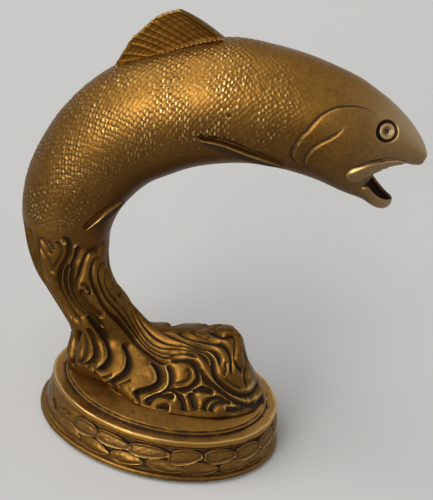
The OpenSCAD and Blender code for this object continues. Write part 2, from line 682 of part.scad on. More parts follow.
// Row of points across the jaw's trough at a place along it, on its outer or its inner face
function jaw_row(s, inside) =
    let (r = along(jaw_shares, s), low = place(r[0], r[1]), rim = place(r[0], r[2]),
        w = r[3] * body_w, h = rim[2] - low[2], tip = s / (len(jaw_shares) - 1),
        side_t = inside ? min(jaw_t, w * jaw_solid_share) : 0,
        floor_t = inside ? min(jaw_floor_t * (1 - jaw_thin_share * tip), h * jaw_solid_share) : 0)
    [for (i = [0 : jaw_rows]) let (a = 180 * i / jaw_rows)
        [rim[0], -(w - side_t) * cos(a), rim[2] - (h - floor_t) * sin(a)]];

module lower_jaw() {
    stations = [0 : 0.5 : len(jaw_shares) - 1];
    color("peru") {
        blade([for (s = stations) jaw_row(s, true)], [for (s = stations) jaw_row(s, false)]);
        jaw_tongue(0, overrun);
    }
}

// Side view point of the dorsal fin: along its root, then up a ray
function dorsal_point(u, v) =
    let (root = skin(body_shares, dorsal_root(1 - pow(u, dorsal_fan_share)), 0) + dorsal_up * seam_gap,
        e = along(dorsal_edge_shares, u * (len(dorsal_edge_shares) - 1)),
        edge = dorsal_front + dorsal_along * (e[0] * dorsal_l) + dorsal_up * (e[1] * dorsal_rise),
        bow = dorsal_up * (dorsal_bow_share * dorsal_rise * 4 * v * (1 - v) * u * u))
    root + (edge - root) * v + bow;

// Half the fin's thickness: it thins towards the edge, and its grooves fade at root, edge and front
groove_up_shares = [0.08, 0.92];
groove_back_shares = [0.96, 0.06];
function dorsal_half(u, v) =
    let (across = 0.5 + 0.5 * cos(360 * ray_count * u),
        up = sin(180 * (groove_up_shares[0] + (groove_up_shares[1] - groove_up_shares[0]) * v)),
        back = eased((groove_back_shares[0] - u) / groove_back_shares[1]))
    (dorsal_t + (dorsal_edge_t - dorsal_t) * v) / 2 - ray_deep * across * up * back;

function dorsal_face(u, v, side) = dorsal_point(u, v) + [0, side * dorsal_half(u, v), 0];

module dorsal_fin() {
    nu = 4 * ray_count;
    nv = 6;
    color("goldenrod") {
        blade([for (i = [0 : nu]) [for (j = [0 : nv]) dorsal_face(i / nu, j / nv, -1)]],
            [for (i = [0 : nu]) [for (j = [0 : nv]) dorsal_face(i / nu, j / nv, 1)]]);
        tenon(0, dorsal_rise * 0.2);
    }
}

// Spread of a side fin at its tip, in degrees, and the share of its length over which it opens
tip_angle = 1.5;
open_share = 0.25;
// Grooves across a side fin
side_grooves = 3;

// Point of a side fin: along its leading edge, across its blade, then lifted off the skin
function side_fin_point(edge, spread, side, u, v, lift) =
    let (e = along(edge, u * (len(edge) - 1)),
        wide = spread * pow(1 - u, 0.55) * (0.5 + 0.5 * eased(u / open_share)))
    skin(body_shares, e[0], side * (e[1] + max(tip_angle, wide) * v), lift);

// Thickness of a side fin across its blade, from the leading edge
function side_fin_height(v) =
    side_edge_t + (side_fin_t - side_edge_t) * pow(1 - v, 1.5)
        - ray_deep / 2 * (1 - cos(360 * side_grooves * v)) * (1 - v);

module side_fin(edge, spread, side) {
    nu = 12;
    nv = 5;
    top = [for (i = [0 : nu]) [for (j = [0 : nv])
        side_fin_point(edge, spread, side, i / nu, j / nv, seam_gap + side_fin_height(j / nv))]];
    under = [for (i = [0 : nu]) [for (j = [0 : nv])
        side_fin_point(edge, spread, side, i / nu, j / nv, seam_gap)]];
    if (side < 0) blade(top, under);
    else blade(under, top);
    side_peg(edge, spread, side, 0, seam_gap + side_edge_t / 2);
}

module pectoral_fin_right() {
    color("goldenrod") side_fin(pectoral_shares, pectoral_angle, -1);
}

module pectoral_fin_left() {
    color("goldenrod") side_fin(pectoral_shares, pectoral_angle, 1);
}

module pelvic_fin_right() {
    color("goldenrod") side_fin(pelvic_shares, pelvic_angle, -1);
}

module pelvic_fin_left() {
    color("goldenrod") side_fin(pelvic_shares, pelvic_angle, 1);
}

module eye(side) {
    p = skin(head_shares, eye_share, side * eye_angle);
    r = eye_d / 2;
    disc_z = eye_h - eye_ring / 3;
    color("tan") facing(p, skin_out(head_shares, eye_share, side * eye_angle))
        translate([0, 0, -socket_deep]) rotate_extrude($fn = 48)
            polygon([[0, -shank_l], [shank_d / 2, -shank_l], [shank_d / 2, 0], [r, 0],
                [r, eye_h - eye_ring / 2], [r - eye_ring / 4, eye_h], [r - eye_ring, eye_h],
                [r - eye_ring * 1.4, disc_z], [pupil_d / 2, disc_z],
                [pupil_d / 2 - eye_ring / 4, disc_z - pupil_deep], [0, disc_z - pupil_deep]]);
}

module eye_right() {
    eye(-1);
}

module eye_left() {
    eye(1);
}

felt_pad();
base_plate();
leaf_band();
plinth_cap();
water_column();
tie_rod();
washer();
nut();
locating_pins();
fish_body();
lower_jaw();
dorsal_fin();
pectoral_fin_right();
pectoral_fin_left();
pelvic_fin_right();
pelvic_fin_left();
eye_right();
eye_left();
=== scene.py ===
"""Looks of the leaping trout trophy: an aged brass fish on swirling water over a laurel plinth.

Lengths are metres in the frame's own axes: +X runs towards the fish's head, -Y is its right
flank, which faces the camera, and +Z is up. Stations count sections along the fish from its
snout, and angles run down from the back, negative on the right.
"""

import logging
import math
from dataclasses import dataclass
from enum import Enum
from functools import cached_property
from typing import Sequence

import bpy
import numpy as np
from mathutils import Matrix, Vector
from mathutils.bvhtree import BVHTree


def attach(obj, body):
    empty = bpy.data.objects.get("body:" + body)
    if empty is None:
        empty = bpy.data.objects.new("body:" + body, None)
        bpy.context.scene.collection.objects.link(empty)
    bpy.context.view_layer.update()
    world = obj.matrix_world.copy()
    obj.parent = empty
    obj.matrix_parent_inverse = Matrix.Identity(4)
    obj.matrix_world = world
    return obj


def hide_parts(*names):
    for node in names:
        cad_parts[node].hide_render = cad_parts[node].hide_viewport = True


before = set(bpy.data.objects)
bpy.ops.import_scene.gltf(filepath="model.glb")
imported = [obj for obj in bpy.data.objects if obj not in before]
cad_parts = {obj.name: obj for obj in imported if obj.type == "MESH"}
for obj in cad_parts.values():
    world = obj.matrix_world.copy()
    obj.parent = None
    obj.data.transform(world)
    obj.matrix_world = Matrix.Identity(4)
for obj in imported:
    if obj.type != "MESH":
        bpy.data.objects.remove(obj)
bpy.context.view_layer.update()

Array = np.ndarray
Object = bpy.types.Object
Material = bpy.types.Material
Socket = bpy.types.NodeSocket
Node = bpy.types.Node
NodeTree = bpy.types.NodeTree
Colour = tuple[float, float, float]

LOG = logging.getLogger("trophy")
MM = 0.001
BODY = "root"
# Share of the full number of points in a mesh
DETAIL = 1.0


class Side(Enum):
    """The fish's two sides, as the sign of Y."""

    RIGHT = -1
    LEFT = 1


# Curves and fields

def curve(a: Array, b: Array, c: Array, d: Array, t: Array) -> Array:
    """Returns the smooth curve through b and c at t, with a before them and d after them."""
    square, cube = 2 * a - 5 * b + 4 * c - d, 3 * b - a - 3 * c + d
    return 0.5 * (2 * b + (c - a) * t + square * t * t + cube * t ** 3)


def along(rows: Sequence, place: Array, closed: bool = False) -> Array:
    """Reads rows of values at fractional places along a smooth curve.

    Args:
        rows: Equal rows of numbers.
        place: Places along them, of any shape.
        closed: Whether the curve closes on itself; its ends are held otherwise.

    Returns:
        An array of place's shape with one more axis, for a row's values.
    """
    values, place = np.asarray(rows, float), np.asarray(place, float)
    last, first = len(values) - 1, np.floor(place).astype(int)
    first = first if closed else np.clip(first, 0, last - 1)
    near = [(first + k) % (last + 1) if closed else np.clip(first + k, 0, last) for k in (-1, 0, 1, 2)]
    return curve(*values[np.array(near)], (place - first).reshape(place.shape + (1,) * (values.ndim - 1)))


def eased(t: Array) -> Array:
    """Returns a smooth step from 0 to 1 as t goes from 0 to 1."""
    u = np.clip(t, 0, 1)
    return u * u * (3 - 2 * u)


def unit(vectors: Array) -> Array:
    """Returns the vectors at length 1."""
    return vectors / np.maximum(np.linalg.norm(vectors, axis=-1, keepdims=True), 1e-12)


def blurred(field: Array, rows: int, around: int) -> Array:
    """Averages a grid over a window; its columns close on themselves.

    Args:
        field: The grid.
        rows: Rows on each side that count in.
        around: Columns on each side that count in.

    Returns:
        The averaged grid.
    """
    wide = sum(np.roll(field, k, axis=1) for k in range(-around, around + 1)) / (2 * around + 1)
    held = np.pad(wide, ((rows, rows), (0, 0)), mode="edge")
    return sum(held[k:k + len(field)] for k in range(2 * rows + 1)) / (2 * rows + 1)


def evened(points: Array, gap: float) -> Array:
    """Returns fractional places along a line of points so that neighbours lie about gap apart."""
    run = np.append(0.0, np.cumsum(np.linalg.norm(np.diff(points, axis=0), axis=1)))
    return np.interp(np.linspace(0, run[-1], max(2, int(run[-1] / gap) + 1)), run, np.arange(len(points)))


def refined(marks: Sequence, per: int, gap: float) -> Array:
    """Returns points a gap apart on the smooth line through marks, which is read at some points per mark."""
    fine = along(marks, np.linspace(0, len(marks) - 1, per * len(marks)))
    return along(fine, evened(fine, gap))


def unit_grid(rows: int, columns: int) -> list[Array]:
    """Returns the shares from 0 to 1 along a grid's rows and along its columns."""
    return list(np.meshgrid(np.linspace(0, 1, rows), np.linspace(0, 1, columns), indexing="ij"))


def right_hand(points: Array) -> Array:
    """Returns the signs of XYZ that fold points of the left half onto the right half."""
    return np.where(points[..., 1:2] > 0, [1.0, -1.0, 1.0], [1.0, 1.0, 1.0])


def ring_faces(rows: int, around: int) -> tuple[Array, Array]:
    """Joins closed rings of points with four-sided faces.

    Args:
        rows: Number of rings.
        around: Points round a ring.

    Returns:
        The points' numbers as a grid, and the faces.
    """
    index = np.arange(rows * around).reshape(rows, around)
    beside = np.roll(index, -1, axis=1)
    return index, np.stack([index[:-1], beside[:-1], beside[1:], index[1:]], -1).reshape(-1, 4)


def tree_of(surfaces: Sequence[Array]) -> BVHTree:
    """Builds a search tree of surfaces.

    Args:
        surfaces: Arrays of closed rings of points.

    Returns:
        The tree.
    """
    points, faces, start = [], [], 0
    for rings in surfaces:
        faces.append(ring_faces(*rings.shape[:2])[1] + start)
        points.append(rings.reshape(-1, 3))
        start += len(points[-1])
    return BVHTree.FromPolygons(np.concatenate(points).tolist(), np.concatenate(faces).tolist())


# Traced lines and the photograph's camera

@dataclass(frozen=True)
class Groove:
    """The section of a carved line.

    Attributes:
        deep: Depth of the groove.
        wide: Half width of the groove on the right of its direction.
        lee: Half width on the left.
        bank: Height of the rounded bank on the right.
        step: How far the surface on the right stands above that on the left.
        run: How far from the line the step fades.
        fade: Share of the line over which each end fades.
        soft: Share of the depth that is a wide soft trough round the groove.
        spread: Width of the trough, as a multiple of the groove's.
    """

    deep: float = 1.0 * MM
    wide: float = 0.42 * MM
    lee: float = 0.42 * MM
    bank: float = 0.0
    step: float = 0.0
    run: float = 3.0 * MM
    fade: float = 0.12
    soft: float = 0.5
    spread: float = 2.4


Lines = list[tuple[Groove, Array]]


def lines_of(table: Sequence) -> Lines:
    """Returns the lines of a table of grooves, each with its lines as flat rows of paired numbers."""
    return [(groove, np.reshape(line, (-1, 2)).astype(float)) for groove, lines in table for line in lines]


@dataclass(frozen=True)
class Photo:
    """The photograph's view: where its camera stands, and rays through its pixels.

    Attributes:
        target: Point that the camera looks at.
        distance: Distance from the camera to the target.
        elevation: Height of the camera above the horizon, in degrees.
        roll: Lean of the world's up in the picture, in degrees.
        focal_px: Focal length in pixels.
        size_px: Width and height of the picture.
        sensor: Width of the camera's sensor, in millimetres.
        per: Points to a pixel mark at which a traced line is read.
        gap: Distance between the points of a thrown line.
    """

    target: tuple[float, float, float] = (6.2 * MM, 0.0, 61.9 * MM)
    distance: float = 450 * MM
    elevation: float = 28.5
    roll: float = 12.3
    focal_px: float = 1575.0
    size_px: tuple[int, int] = (433, 500)
    sensor: float = 36.0
    per: int = 12
    gap: float = 0.2 * MM

    def axes(self) -> tuple[Vector, Vector, Vector]:
        """Works out how the camera is turned.

        Returns:
            Its right, up and backward directions.
        """
        lift = math.radians(self.elevation)
        lean = math.radians(self.roll)
        back = Vector((0, -math.cos(lift), math.sin(lift)))
        level = Vector((1, 0, 0))
        rise = Vector((0, math.sin(lift), math.cos(lift)))
        return (level * math.cos(lean) + rise * math.sin(lean),
                rise * math.cos(lean) - level * math.sin(lean), back)

    def place(self) -> Vector:
        """Returns where the camera stands."""
        return Vector(self.target) + self.axes()[2] * self.distance

    def ray(self, px: tuple[float, float]) -> Vector:
        """Works out the ray through a pixel.

        Args:
            px: The pixel.

        Returns:
            Its direction.
        """
        right, rise, back = self.axes()
        across, down = ((at - size / 2) / self.focal_px for at, size in zip(px, self.size_px))
        return (right * across - rise * down - back).normalized()

    def make(self) -> Object:
        """Adds the camera.

        Returns:
            The camera.
        """
        right, rise, back = self.axes()
        bpy.ops.object.camera_add(location=self.place())
        camera = bpy.context.object
        camera.name = "photo_camera"
        camera.rotation_euler = Matrix((right, rise, back)).transposed().to_euler()
        camera.data.sensor_width = self.sensor
        camera.data.lens = self.focal_px / max(self.size_px) * self.sensor
        camera.data.clip_start, camera.data.clip_end = 0.02, 20
        bpy.context.scene.camera = camera
        return camera

    def thrown(self, surfaces: Sequence[Array], lines: Sequence[Sequence]) -> list[Array | None]:
        """Throws traced lines from the camera onto plain surfaces.

        Args:
            surfaces: Arrays of rings of points, each closed round.
            lines: Lines as pixels.

        Returns:
            The points of each line, close together, or None where it passes by.
        """
        tree = tree_of(surfaces)
        eye, found = self.place(), []
        for traced in lines:
            line, depth = [], None
            for px in along(traced, np.linspace(0, len(traced) - 1, self.per * len(traced))):
                ray = self.ray(tuple(px))
                hit, _, _, gap = tree.ray_cast(eye, ray)
                if hit is None and depth is not None:
                    hit = tree.find_nearest(eye + ray * depth)[0]
                elif hit is not None:
                    depth = gap
                if hit is not None:
                    line.append(hit)
            line = np.array(line)
            found.append(along(line, evened(line, self.gap)) if len(line) > 3 else None)
        return found

    def traced(self, surfaces: Sequence[Array], table: Sequence) -> Lines:
        """Throws a table of traced lines onto surfaces.

        Args:
            surfaces: Arrays of rings of points.
            table: Grooves, each with its lines.

        Returns:
            Grooves and points of the lines that don't pass by.
        """
        lines = lines_of(table)
        thrown = self.thrown(surfaces, [line for _, line in lines])
        return [(groove, line) for (groove, _), line in zip(lines, thrown) if line is not None]


# Carving

# How far the water's lines drift on the left, from where to where off the middle, and over what distance
DRIFT = 2.2 * MM
DRIFT_RUN = 4 * MM
DRIFT_SIZE = 19 * MM


@dataclass
class Carver:
    """Carves lines into the points of a casting that is alike on both sides.

    Attributes:
        points: The casting's points.
        normals: Their outward directions.
        drift: How far the lines wander on the left from a mirror image of those on the right.
    """

    points: Array
    normals: Array
    drift: float = 0.0

    def __post_init__(self) -> None:
        """Folds the left half onto the right."""
        flip = right_hand(self.points)
        self.folded = self.points * flip
        self.outward = self.normals * flip
        if self.drift:
            left = self.drift * eased(self.points[:, 1] / DRIFT_RUN)
            for axis, seed in ((0, 41), (2, 42)):
                self.folded[:, axis] += left * lumps(self.points, DRIFT_SIZE, seed)
        self.groove, self.bank, self.step = np.zeros((3, len(self.points)))

    def carve(self, groove: Groove, line: Array) -> None:
        """Carves one line.

        Args:
            groove: The line's section.
            line: Its points on the surface, close together.
        """
        width = max(groove.wide, groove.lee)
        reach = max(2 * groove.spread * width, 1.6 * groove.run if groove.step else 0.0)
        near = np.all((self.folded > line.min(0) - reach) & (self.folded < line.max(0) + reach), axis=1)
        index = np.nonzero(near)[0]
        if not len(index):
            return
        places = self.folded[index]
        gaps = (line ** 2).sum(1) - 2 * places @ line.T
        nearest = gaps.argmin(1)
        reached = np.linalg.norm(places - line[nearest], axis=1)
        keep = reached < reach
        index, places, nearest, reached = index[keep], places[keep], nearest[keep], reached[keep]
        tangent = unit(np.gradient(line, axis=0))[nearest]
        right = np.cross(tangent, self.outward[index])
        side = np.sign((right * (places - line[nearest])).sum(1))
        signed = side * reached
        share = nearest / (len(line) - 1)
        taper = eased(np.minimum(share, 1 - share) / groove.fade + 0.12)
        width = np.where(signed > 0, groove.wide, groove.lee)
        core = np.exp(-(reached / width) ** 1.7)
        trough = np.exp(-(reached / (groove.spread * width)) ** 2)
        depth = groove.deep * taper * ((1 - groove.soft) * core + groove.soft * trough)
        self.groove[index] = np.maximum(self.groove[index], depth)
        if groove.bank:
            crest = groove.bank * taper * np.exp(-((signed - 1.5 * groove.wide) / (1.1 * groove.wide)) ** 2)
            self.bank[index] = np.maximum(self.bank[index], crest)
        if groove.step:
            fall = np.exp(-(reached / groove.run) ** 2) * np.tanh(signed / (0.3 * groove.wide))
            self.step[index] += groove.step * taper * fall

    def relief(self) -> Array:
        """Returns the carved height at each point."""
        return self.step + self.bank - self.groove


# Castings: closed tubes of rings

@dataclass
class Casting:
    """A tube-like surface, as rings of points with a relief worked into them.

    Attributes:
        rings: Array of rings, points round a ring, and XYZ.
    """

    rings: Array

    def __post_init__(self) -> None:
        """Works out the outward directions of the plain surface."""
        self.height, self.zone, self.age = np.zeros((3, *self.rings.shape[:2]))
        self.normals = self.outward(self.rings)

    @staticmethod
    def outward(rings: Array) -> Array:
        """Works out the outward directions of a tube-like surface.

        Args:
            rings: Its rings of points.

        Returns:
            The direction at every point.
        """
        down = np.gradient(rings, axis=0)
        round_ = (np.roll(rings, -1, axis=1) - np.roll(rings, 1, axis=1)) / 2
        normals = unit(np.cross(round_, down))
        middle = rings.mean(axis=1, keepdims=True)
        if ((rings - middle) * normals).sum() < 0:
            normals = -normals
        return normals

    def carve(self, lines: Lines, drift: float = 0.0) -> None:
        """Carves lines into the relief.

        Args:
            lines: Grooves, each with the points of its line.
            drift: How far the lines wander on the left.
        """
        carver = Carver(self.rings.reshape(-1, 3), self.normals.reshape(-1, 3), drift)
        for groove, line in lines:
            carver.carve(groove, line)
        self.height += carver.relief().reshape(self.height.shape)

    def worked(self) -> Array:
        """Returns the rings with their relief."""
        return self.rings + self.normals * self.height[..., None]

    def wear(self, *windows: tuple[int, float]) -> Array:
        """Returns how proud each point stands in windows of points and their full heights, from -1 to 1."""
        proud = [(self.height - blurred(self.height, points, points)) / full for points, full in windows]
        return np.clip(0.6 * sum(proud), -1, 1)

    def piece(self, name: str, first: int, last: int, wear: Array) -> Object:
        """Makes one closed piece from some of the rings.

        Args:
            name: Name of the piece.
            first: Index of its first ring.
            last: Index of its last ring.
            wear: How proud each point stands, for the finish.

        Returns:
            The new object.
        """
        worked = self.worked()
        smooth = self.outward(worked)
        part, normals = worked[first:last + 1], smooth[first:last + 1].reshape(-1, 3)
        index, sides = ring_faces(*part.shape[:2])
        around = part.shape[1]
        rung = np.arange(around // 2 - 1)
        cap = np.stack([rung, around - 1 - rung, around - 2 - rung, rung + 1], -1)
        caps = np.concatenate([cap, cap[:, ::-1] + index[-1, 0]])
        points = part.reshape(-1, 3)
        corner, ahead, beside = (points[sides[:, k]] for k in (0, 1, 3))
        facing = np.cross(ahead - corner, beside - corner)
        faces = np.concatenate([sides, caps])
        if (facing * normals[sides[:, 0]]).sum() < 0:
            faces = faces[:, ::-1]
        made = new_object(name, points, faces.tolist())
        middles = part.mean(1)
        ends = unit(np.array([middles[0] - middles[1], middles[-1] - middles[-2]]))
        corners = np.concatenate([normals[faces[:len(sides)].ravel()], np.repeat(ends, len(cap) * 4, axis=0)])
        made.data.normals_split_custom_set(corners.tolist())
        for mask, values in (("relief", wear), ("zone", self.zone), ("age", self.age)):
            set_values(made, mask, values[first:last + 1].ravel())
        return made

    def dress(self, names: Sequence[str], splits: Sequence[int], wear: Array, slot: str, metal: Material,
              node: str) -> None:
        """Makes and finishes closed pieces of a CAD node from the rings between splits."""
        for name, first, last in zip(names, splits[:-1], splits[1:]):
            finished(self.piece(name, first, last, wear), metal, (node,))


def pick(*pieces: Object) -> None:
    """Selects some pieces and nothing else, and makes the first of them active.

    Args:
        pieces: The pieces.
    """
    bpy.ops.object.select_all(action="DESELECT")
    for piece in pieces:
        piece.select_set(True)
    if pieces:
        bpy.context.view_layer.objects.active = pieces[0]


def new_object(name: str, points: Array, faces: Sequence) -> Object:
    """Adds a smooth mesh object.

    Args:
        name: Its name.
        points: Its points.
        faces: Its faces, as numbers of points.

    Returns:
        The new object.
    """
    mesh = bpy.data.meshes.new(name)
    mesh.from_pydata(points.tolist(), [], faces)
    mesh.update()
    mesh.shade_smooth()
    made = bpy.data.objects.new(name, mesh)
    bpy.context.scene.collection.objects.link(made)
    return made


def shell(name: str, outer: Array, inner: Array) -> Object:
    """Makes a closed blade from two equal grids of points.

    Args:
        name: Its name.
        outer: Grid of its outer face.
        inner: Grid of its inner face.

    Returns:
        The new object.
    """
    rows, columns = outer.shape[:2]
    count = rows * columns
    index = np.arange(count).reshape(rows, columns)

    def quads(grid: Array) -> Array:
        """Returns a grid's faces."""
        return np.stack([grid[:-1, :-1], grid[1:, :-1], grid[1:, 1:], grid[:-1, 1:]], -1).reshape(-1, 4)

    border = np.concatenate([index[0, :-1], index[:-1, -1], index[-1, :0:-1], index[:0:-1, 0]])
    ahead = np.roll(border, -1)
    rim = np.stack([border, ahead, ahead + count, border + count], -1)
    faces = np.concatenate([quads(index), quads(index + count)[:, ::-1], rim])
    points = np.concatenate([outer.reshape(-1, 3), inner.reshape(-1, 3)])
    one, two, three = (points[faces[:, k]] - points.mean(0) for k in (0, 1, 2))
    if (np.cross(one, two) * three).sum() < 0:
        faces = faces[:, ::-1]
    return new_object(name, points, faces.tolist())


def spun(name: str, profile: Sequence[tuple[float, float]], steps: int, ring: bool = False) -> Object:
    """Spins a profile about Z into a closed piece.

    Args:
        name: Name of the piece.
        profile: Points as radius and height; the first and last are on the axis unless it is a ring.
        steps: Sections round the axis.
        ring: Whether the profile is a closed loop away from the axis.

    Returns:
        The new object.
    """
    edges = [(i, i + 1) for i in range(len(profile) - 1)]
    if ring:
        edges.append((len(profile) - 1, 0))
    mesh = bpy.data.meshes.new(name)
    mesh.from_pydata([(radius, 0.0, height) for radius, height in profile], edges, [])
    made = bpy.data.objects.new(name, mesh)
    bpy.context.scene.collection.objects.link(made)
    pick(made)
    bpy.ops.object.mode_set(mode="EDIT")
    bpy.ops.mesh.select_all(action="SELECT")
    bpy.ops.mesh.spin(steps=steps, angle=2 * math.pi, center=(0, 0, 0), axis=(0, 0, 1))
    bpy.ops.mesh.select_all(action="SELECT")
    bpy.ops.mesh.remove_doubles(threshold=1e-6)
    bpy.ops.mesh.normals_make_consistent(inside=False)
    bpy.ops.object.mode_set(mode="OBJECT")
    made.data.shade_smooth()
    return made


def smooth_line(points: Sequence, steps: int) -> list[tuple[float, float]]:
    """Returns points along a smooth line through the given ones."""
    return [tuple(p) for p in along(points, np.linspace(0, len(points) - 1, steps * (len(points) - 1) + 1))]


def lumps(points: Array, size: float, seed: int) -> Array:
    """Works out smooth unevenness, about -1 to 1.

    Args:
        points: The points.
        size: Distance over which it rises and falls.
        seed: Number that fixes its pattern.

    Returns:
        The unevenness at each point.
    """
    draw = np.random.default_rng(seed)
    total = np.zeros(len(points))
    for _ in range(9):
        way = draw.normal(size=3)
        way *= 2 * math.pi / size * draw.uniform(0.6, 1.4) / np.linalg.norm(way)
        total += np.sin(points @ way + draw.uniform(0, 2 * math.pi))
    return total / 4.5


def roughen(made: Object, size: float, deep: float, seed: int) -> None:
    """Presses unevenness of some size and depth into a piece, as hand work leaves it."""
    dent = deep * (lumps(vertex_array(made), size, seed) - 1)
    set_vertices(made, vertex_array(made) + vertex_array(made, "normal") * dent[:, None])


def joined(name: str, pieces: Sequence[Object]) -> Object:
    """Joins pieces into one.

    Args:
        name: Its name.
        pieces: The pieces.

    Returns:
        The joined piece.
    """
    pick(*pieces)
    bpy.ops.object.join()
    pieces[0].name = pieces[0].data.name = name
    return pieces[0]


def bevelled(made: Object, width: float, segments: int = 2) -> None:
    """Rounds the sharp edges of a piece.

    Args:
        made: The piece.
        width: Width of the rounding.
        segments: Faces across it.
    """
    pick(made)
    bevel = made.modifiers.new("round", "BEVEL")
    bevel.width, bevel.segments, bevel.limit_method = width, segments, "ANGLE"
    bevel.angle_limit = math.radians(50)
    bpy.ops.object.modifier_apply(modifier=bevel.name)


def set_values(made: Object, name: str, values: Array) -> None:
    """Stores one number for each vertex of an object."""
    attribute = made.data.attributes.get(name) or made.data.attributes.new(name, "FLOAT", "POINT")
    attribute.data.foreach_set("value", values.astype(np.float32))


def vertex_array(made: Object, name: str = "co") -> Array:
    """Reads where an object's vertices are, or which way they face.

    Args:
        made: The object.
        name: "co" for the places, "normal" for the normals.

    Returns:
        One row for each vertex.
    """
    flat = np.zeros(len(made.data.vertices) * 3, np.float32)
    made.data.vertices.foreach_get(name, flat)
    return flat.reshape(-1, 3).astype(float)


def set_vertices(made: Object, points: Array) -> None:
    """Moves an object's vertices to the given points."""
    made.data.vertices.foreach_set("co", points.astype(np.float32).ravel())
    made.data.update()


def weather(made: Object, rounds: int, proud: float) -> None:
    """Stores how proud each vertex stands of the mesh round it, from -1 to 1.

    Args:
        made: The piece.
        rounds: Rounds of averaging over neighbours.
        proud: Height that counts as fully proud.
    """
    mesh = made.data
    ends = np.zeros(len(mesh.edges) * 2, np.int32)
    mesh.edges.foreach_get("vertices", ends)
    ends = ends.reshape(-1, 2)
    one, two = np.concatenate([ends, ends[:, ::-1]]).T
    count = np.maximum(np.bincount(one, minlength=len(mesh.vertices)), 1)
    points = vertex_array(made)
    soft = points.copy()
    for _ in range(rounds):
        total = np.stack([np.bincount(one, soft[two, k], len(points)) for k in range(3)], 1)
        soft = 0.5 * soft + 0.5 * total / count[:, None]
    height = ((points - soft) * vertex_array(made, "normal")).sum(1)
    set_values(made, "relief", np.clip(height / proud, -1, 1))


def finished(made: Object, material: Material, nodes: Sequence[str] = ()) -> Object:
    """Gives a piece its finish and its place on the part, and reports it.

    Args:
        made: The piece.
        material: Its material.
        nodes: CAD nodes that it stands for.

    Returns:
        The piece.
    """
    made.data.materials.clear()
    made.data.materials.append(material)
    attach(made, BODY)
    if nodes:
        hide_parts(*nodes)
    triangles = sum(len(face.vertices) - 2 for face in made.data.polygons)
    LOG.info("made %s: %d triangles", made.name, triangles)
    return made


# Finishes

class Tree:
    """Adds nodes to a shader tree and links them."""

    def __init__(self, tree: NodeTree) -> None:
        """Takes the tree that the nodes go into."""
        self.tree = tree

    def feed(self, node: Node, values: dict[str | int, object]) -> None:
        """Links inputs of a node to sockets, or sets plain values on them.

        Args:
            node: The node.
            values: Sockets and plain values, by the names or the numbers of the inputs.
        """
        for name, value in values.items():
            if isinstance(value, Socket):
                self.tree.links.new(value, node.inputs[name])
            else:
                node.inputs[name].default_value = value

    def node(self, kind: str, values: dict[str | int, object] | None = None,
             **settings: object) -> Node:
        """Adds a node.

        Args:
            kind: Its type, without the leading ShaderNode.
            values: What its inputs get.
            settings: Its own properties, which are set first.

        Returns:
            The new node.
        """
        made = self.tree.nodes.new(f"ShaderNode{kind}")
        for name, value in settings.items():
            setattr(made, name, value)
        self.feed(made, values or {})
        return made

    def sums(self, operation: str, *values: object, clamp: bool = False) -> Socket:
        """Adds a maths node over sockets or plain numbers and returns its result."""
        made = self.node("Math", dict(enumerate(values)), operation=operation, use_clamp=clamp)
        return made.outputs[0]

    def ramp(self, value: Socket, low: object, high: object) -> Socket:
        """Maps low to 0 and high to 1 smoothly and returns the result."""
        values = {"Value": value, "From Min": low, "From Max": high}
        return self.node("MapRange", values, interpolation_type="SMOOTHSTEP").outputs["Result"]

    def noise(self, vector: Socket, scale: float, detail: float, distortion: float = 0.0) -> Socket:
        """Adds a noise texture and returns its value."""
        values = {"Vector": vector, "Scale": scale, "Detail": detail, "Distortion": distortion}
        return self.node("TexNoise", values).outputs["Fac"]

    def mixed(self, one: object, two: Colour, mask: Socket) -> Socket:
        """Returns colour one, a socket or a colour with alpha, turned to colour two where the mask is 1."""
        values = {"A": one, "B": (*two, 1), "Factor": mask}
        return self.node("Mix", values, data_type="RGBA").outputs["Result"]


class Group(Tree):
    """A shader node group under construction, with a vector to read its textures at."""

    def __init__(self, name: str, numbers: dict[str, float], results: Sequence[str]) -> None:
        """Starts the group.

        Args:
            name: Name of the group.
            numbers: Its number inputs, with their values.
            results: Names of its number outputs.
        """
        super().__init__(bpy.data.node_groups.new(name, "ShaderNodeTree"))
        self.inlet, self.outlet = (self.tree.nodes.new(f"NodeGroup{way}") for way in ("Input", "Output"))
        face = self.tree.interface
        for socket, value in numbers.items():
            face.new_socket(socket, in_out="INPUT", socket_type="NodeSocketFloat").default_value = value
        face.new_socket("Vector", in_out="INPUT", socket_type="NodeSocketVector")
        for socket in results:
            face.new_socket(socket, in_out="OUTPUT", socket_type="NodeSocketFloat")


def tarnish_group() -> NodeTree:
    """Builds the group that turns relief into dark recesses and rubbed edges, and into the painted highlights
    and painted shade that some pieces hold in their relief.

    Returns:
        The group's tree.
    """
    group = Group("tarnish", {"Relief": 0.0, "Recess from": -0.05, "Recess to": -0.5, "Worn from": 0.15,
                              "Worn to": 0.7}, ("Recess", "Worn", "Patch"))
    given = group.inlet.outputs
    patch = group.noise(given["Vector"], 90.0, 4.0)
    speck = group.noise(given["Vector"], 900.0, 2.0)
    jitter, drift = (group.sums("MULTIPLY_ADD", noise, 0.5, -0.25) for noise in (speck, patch))
    uneven = group.sums("ADD", group.sums("ADD", given["Relief"], jitter), drift)
    spots = group.sums("MULTIPLY_ADD", group.ramp(speck, 0.35, 0.65), 0.4, -0.2)
    brown = group.sums("MULTIPLY_ADD", group.ramp(patch, 0.3, 0.7), 0.45, spots)
    ramps = {name: group.ramp(uneven, given[f"{name} from"], given[f"{name} to"])
             for name in ("Recess", "Worn")}
    group.feed(group.outlet, {**ramps, "Patch": brown})
    return group.tree


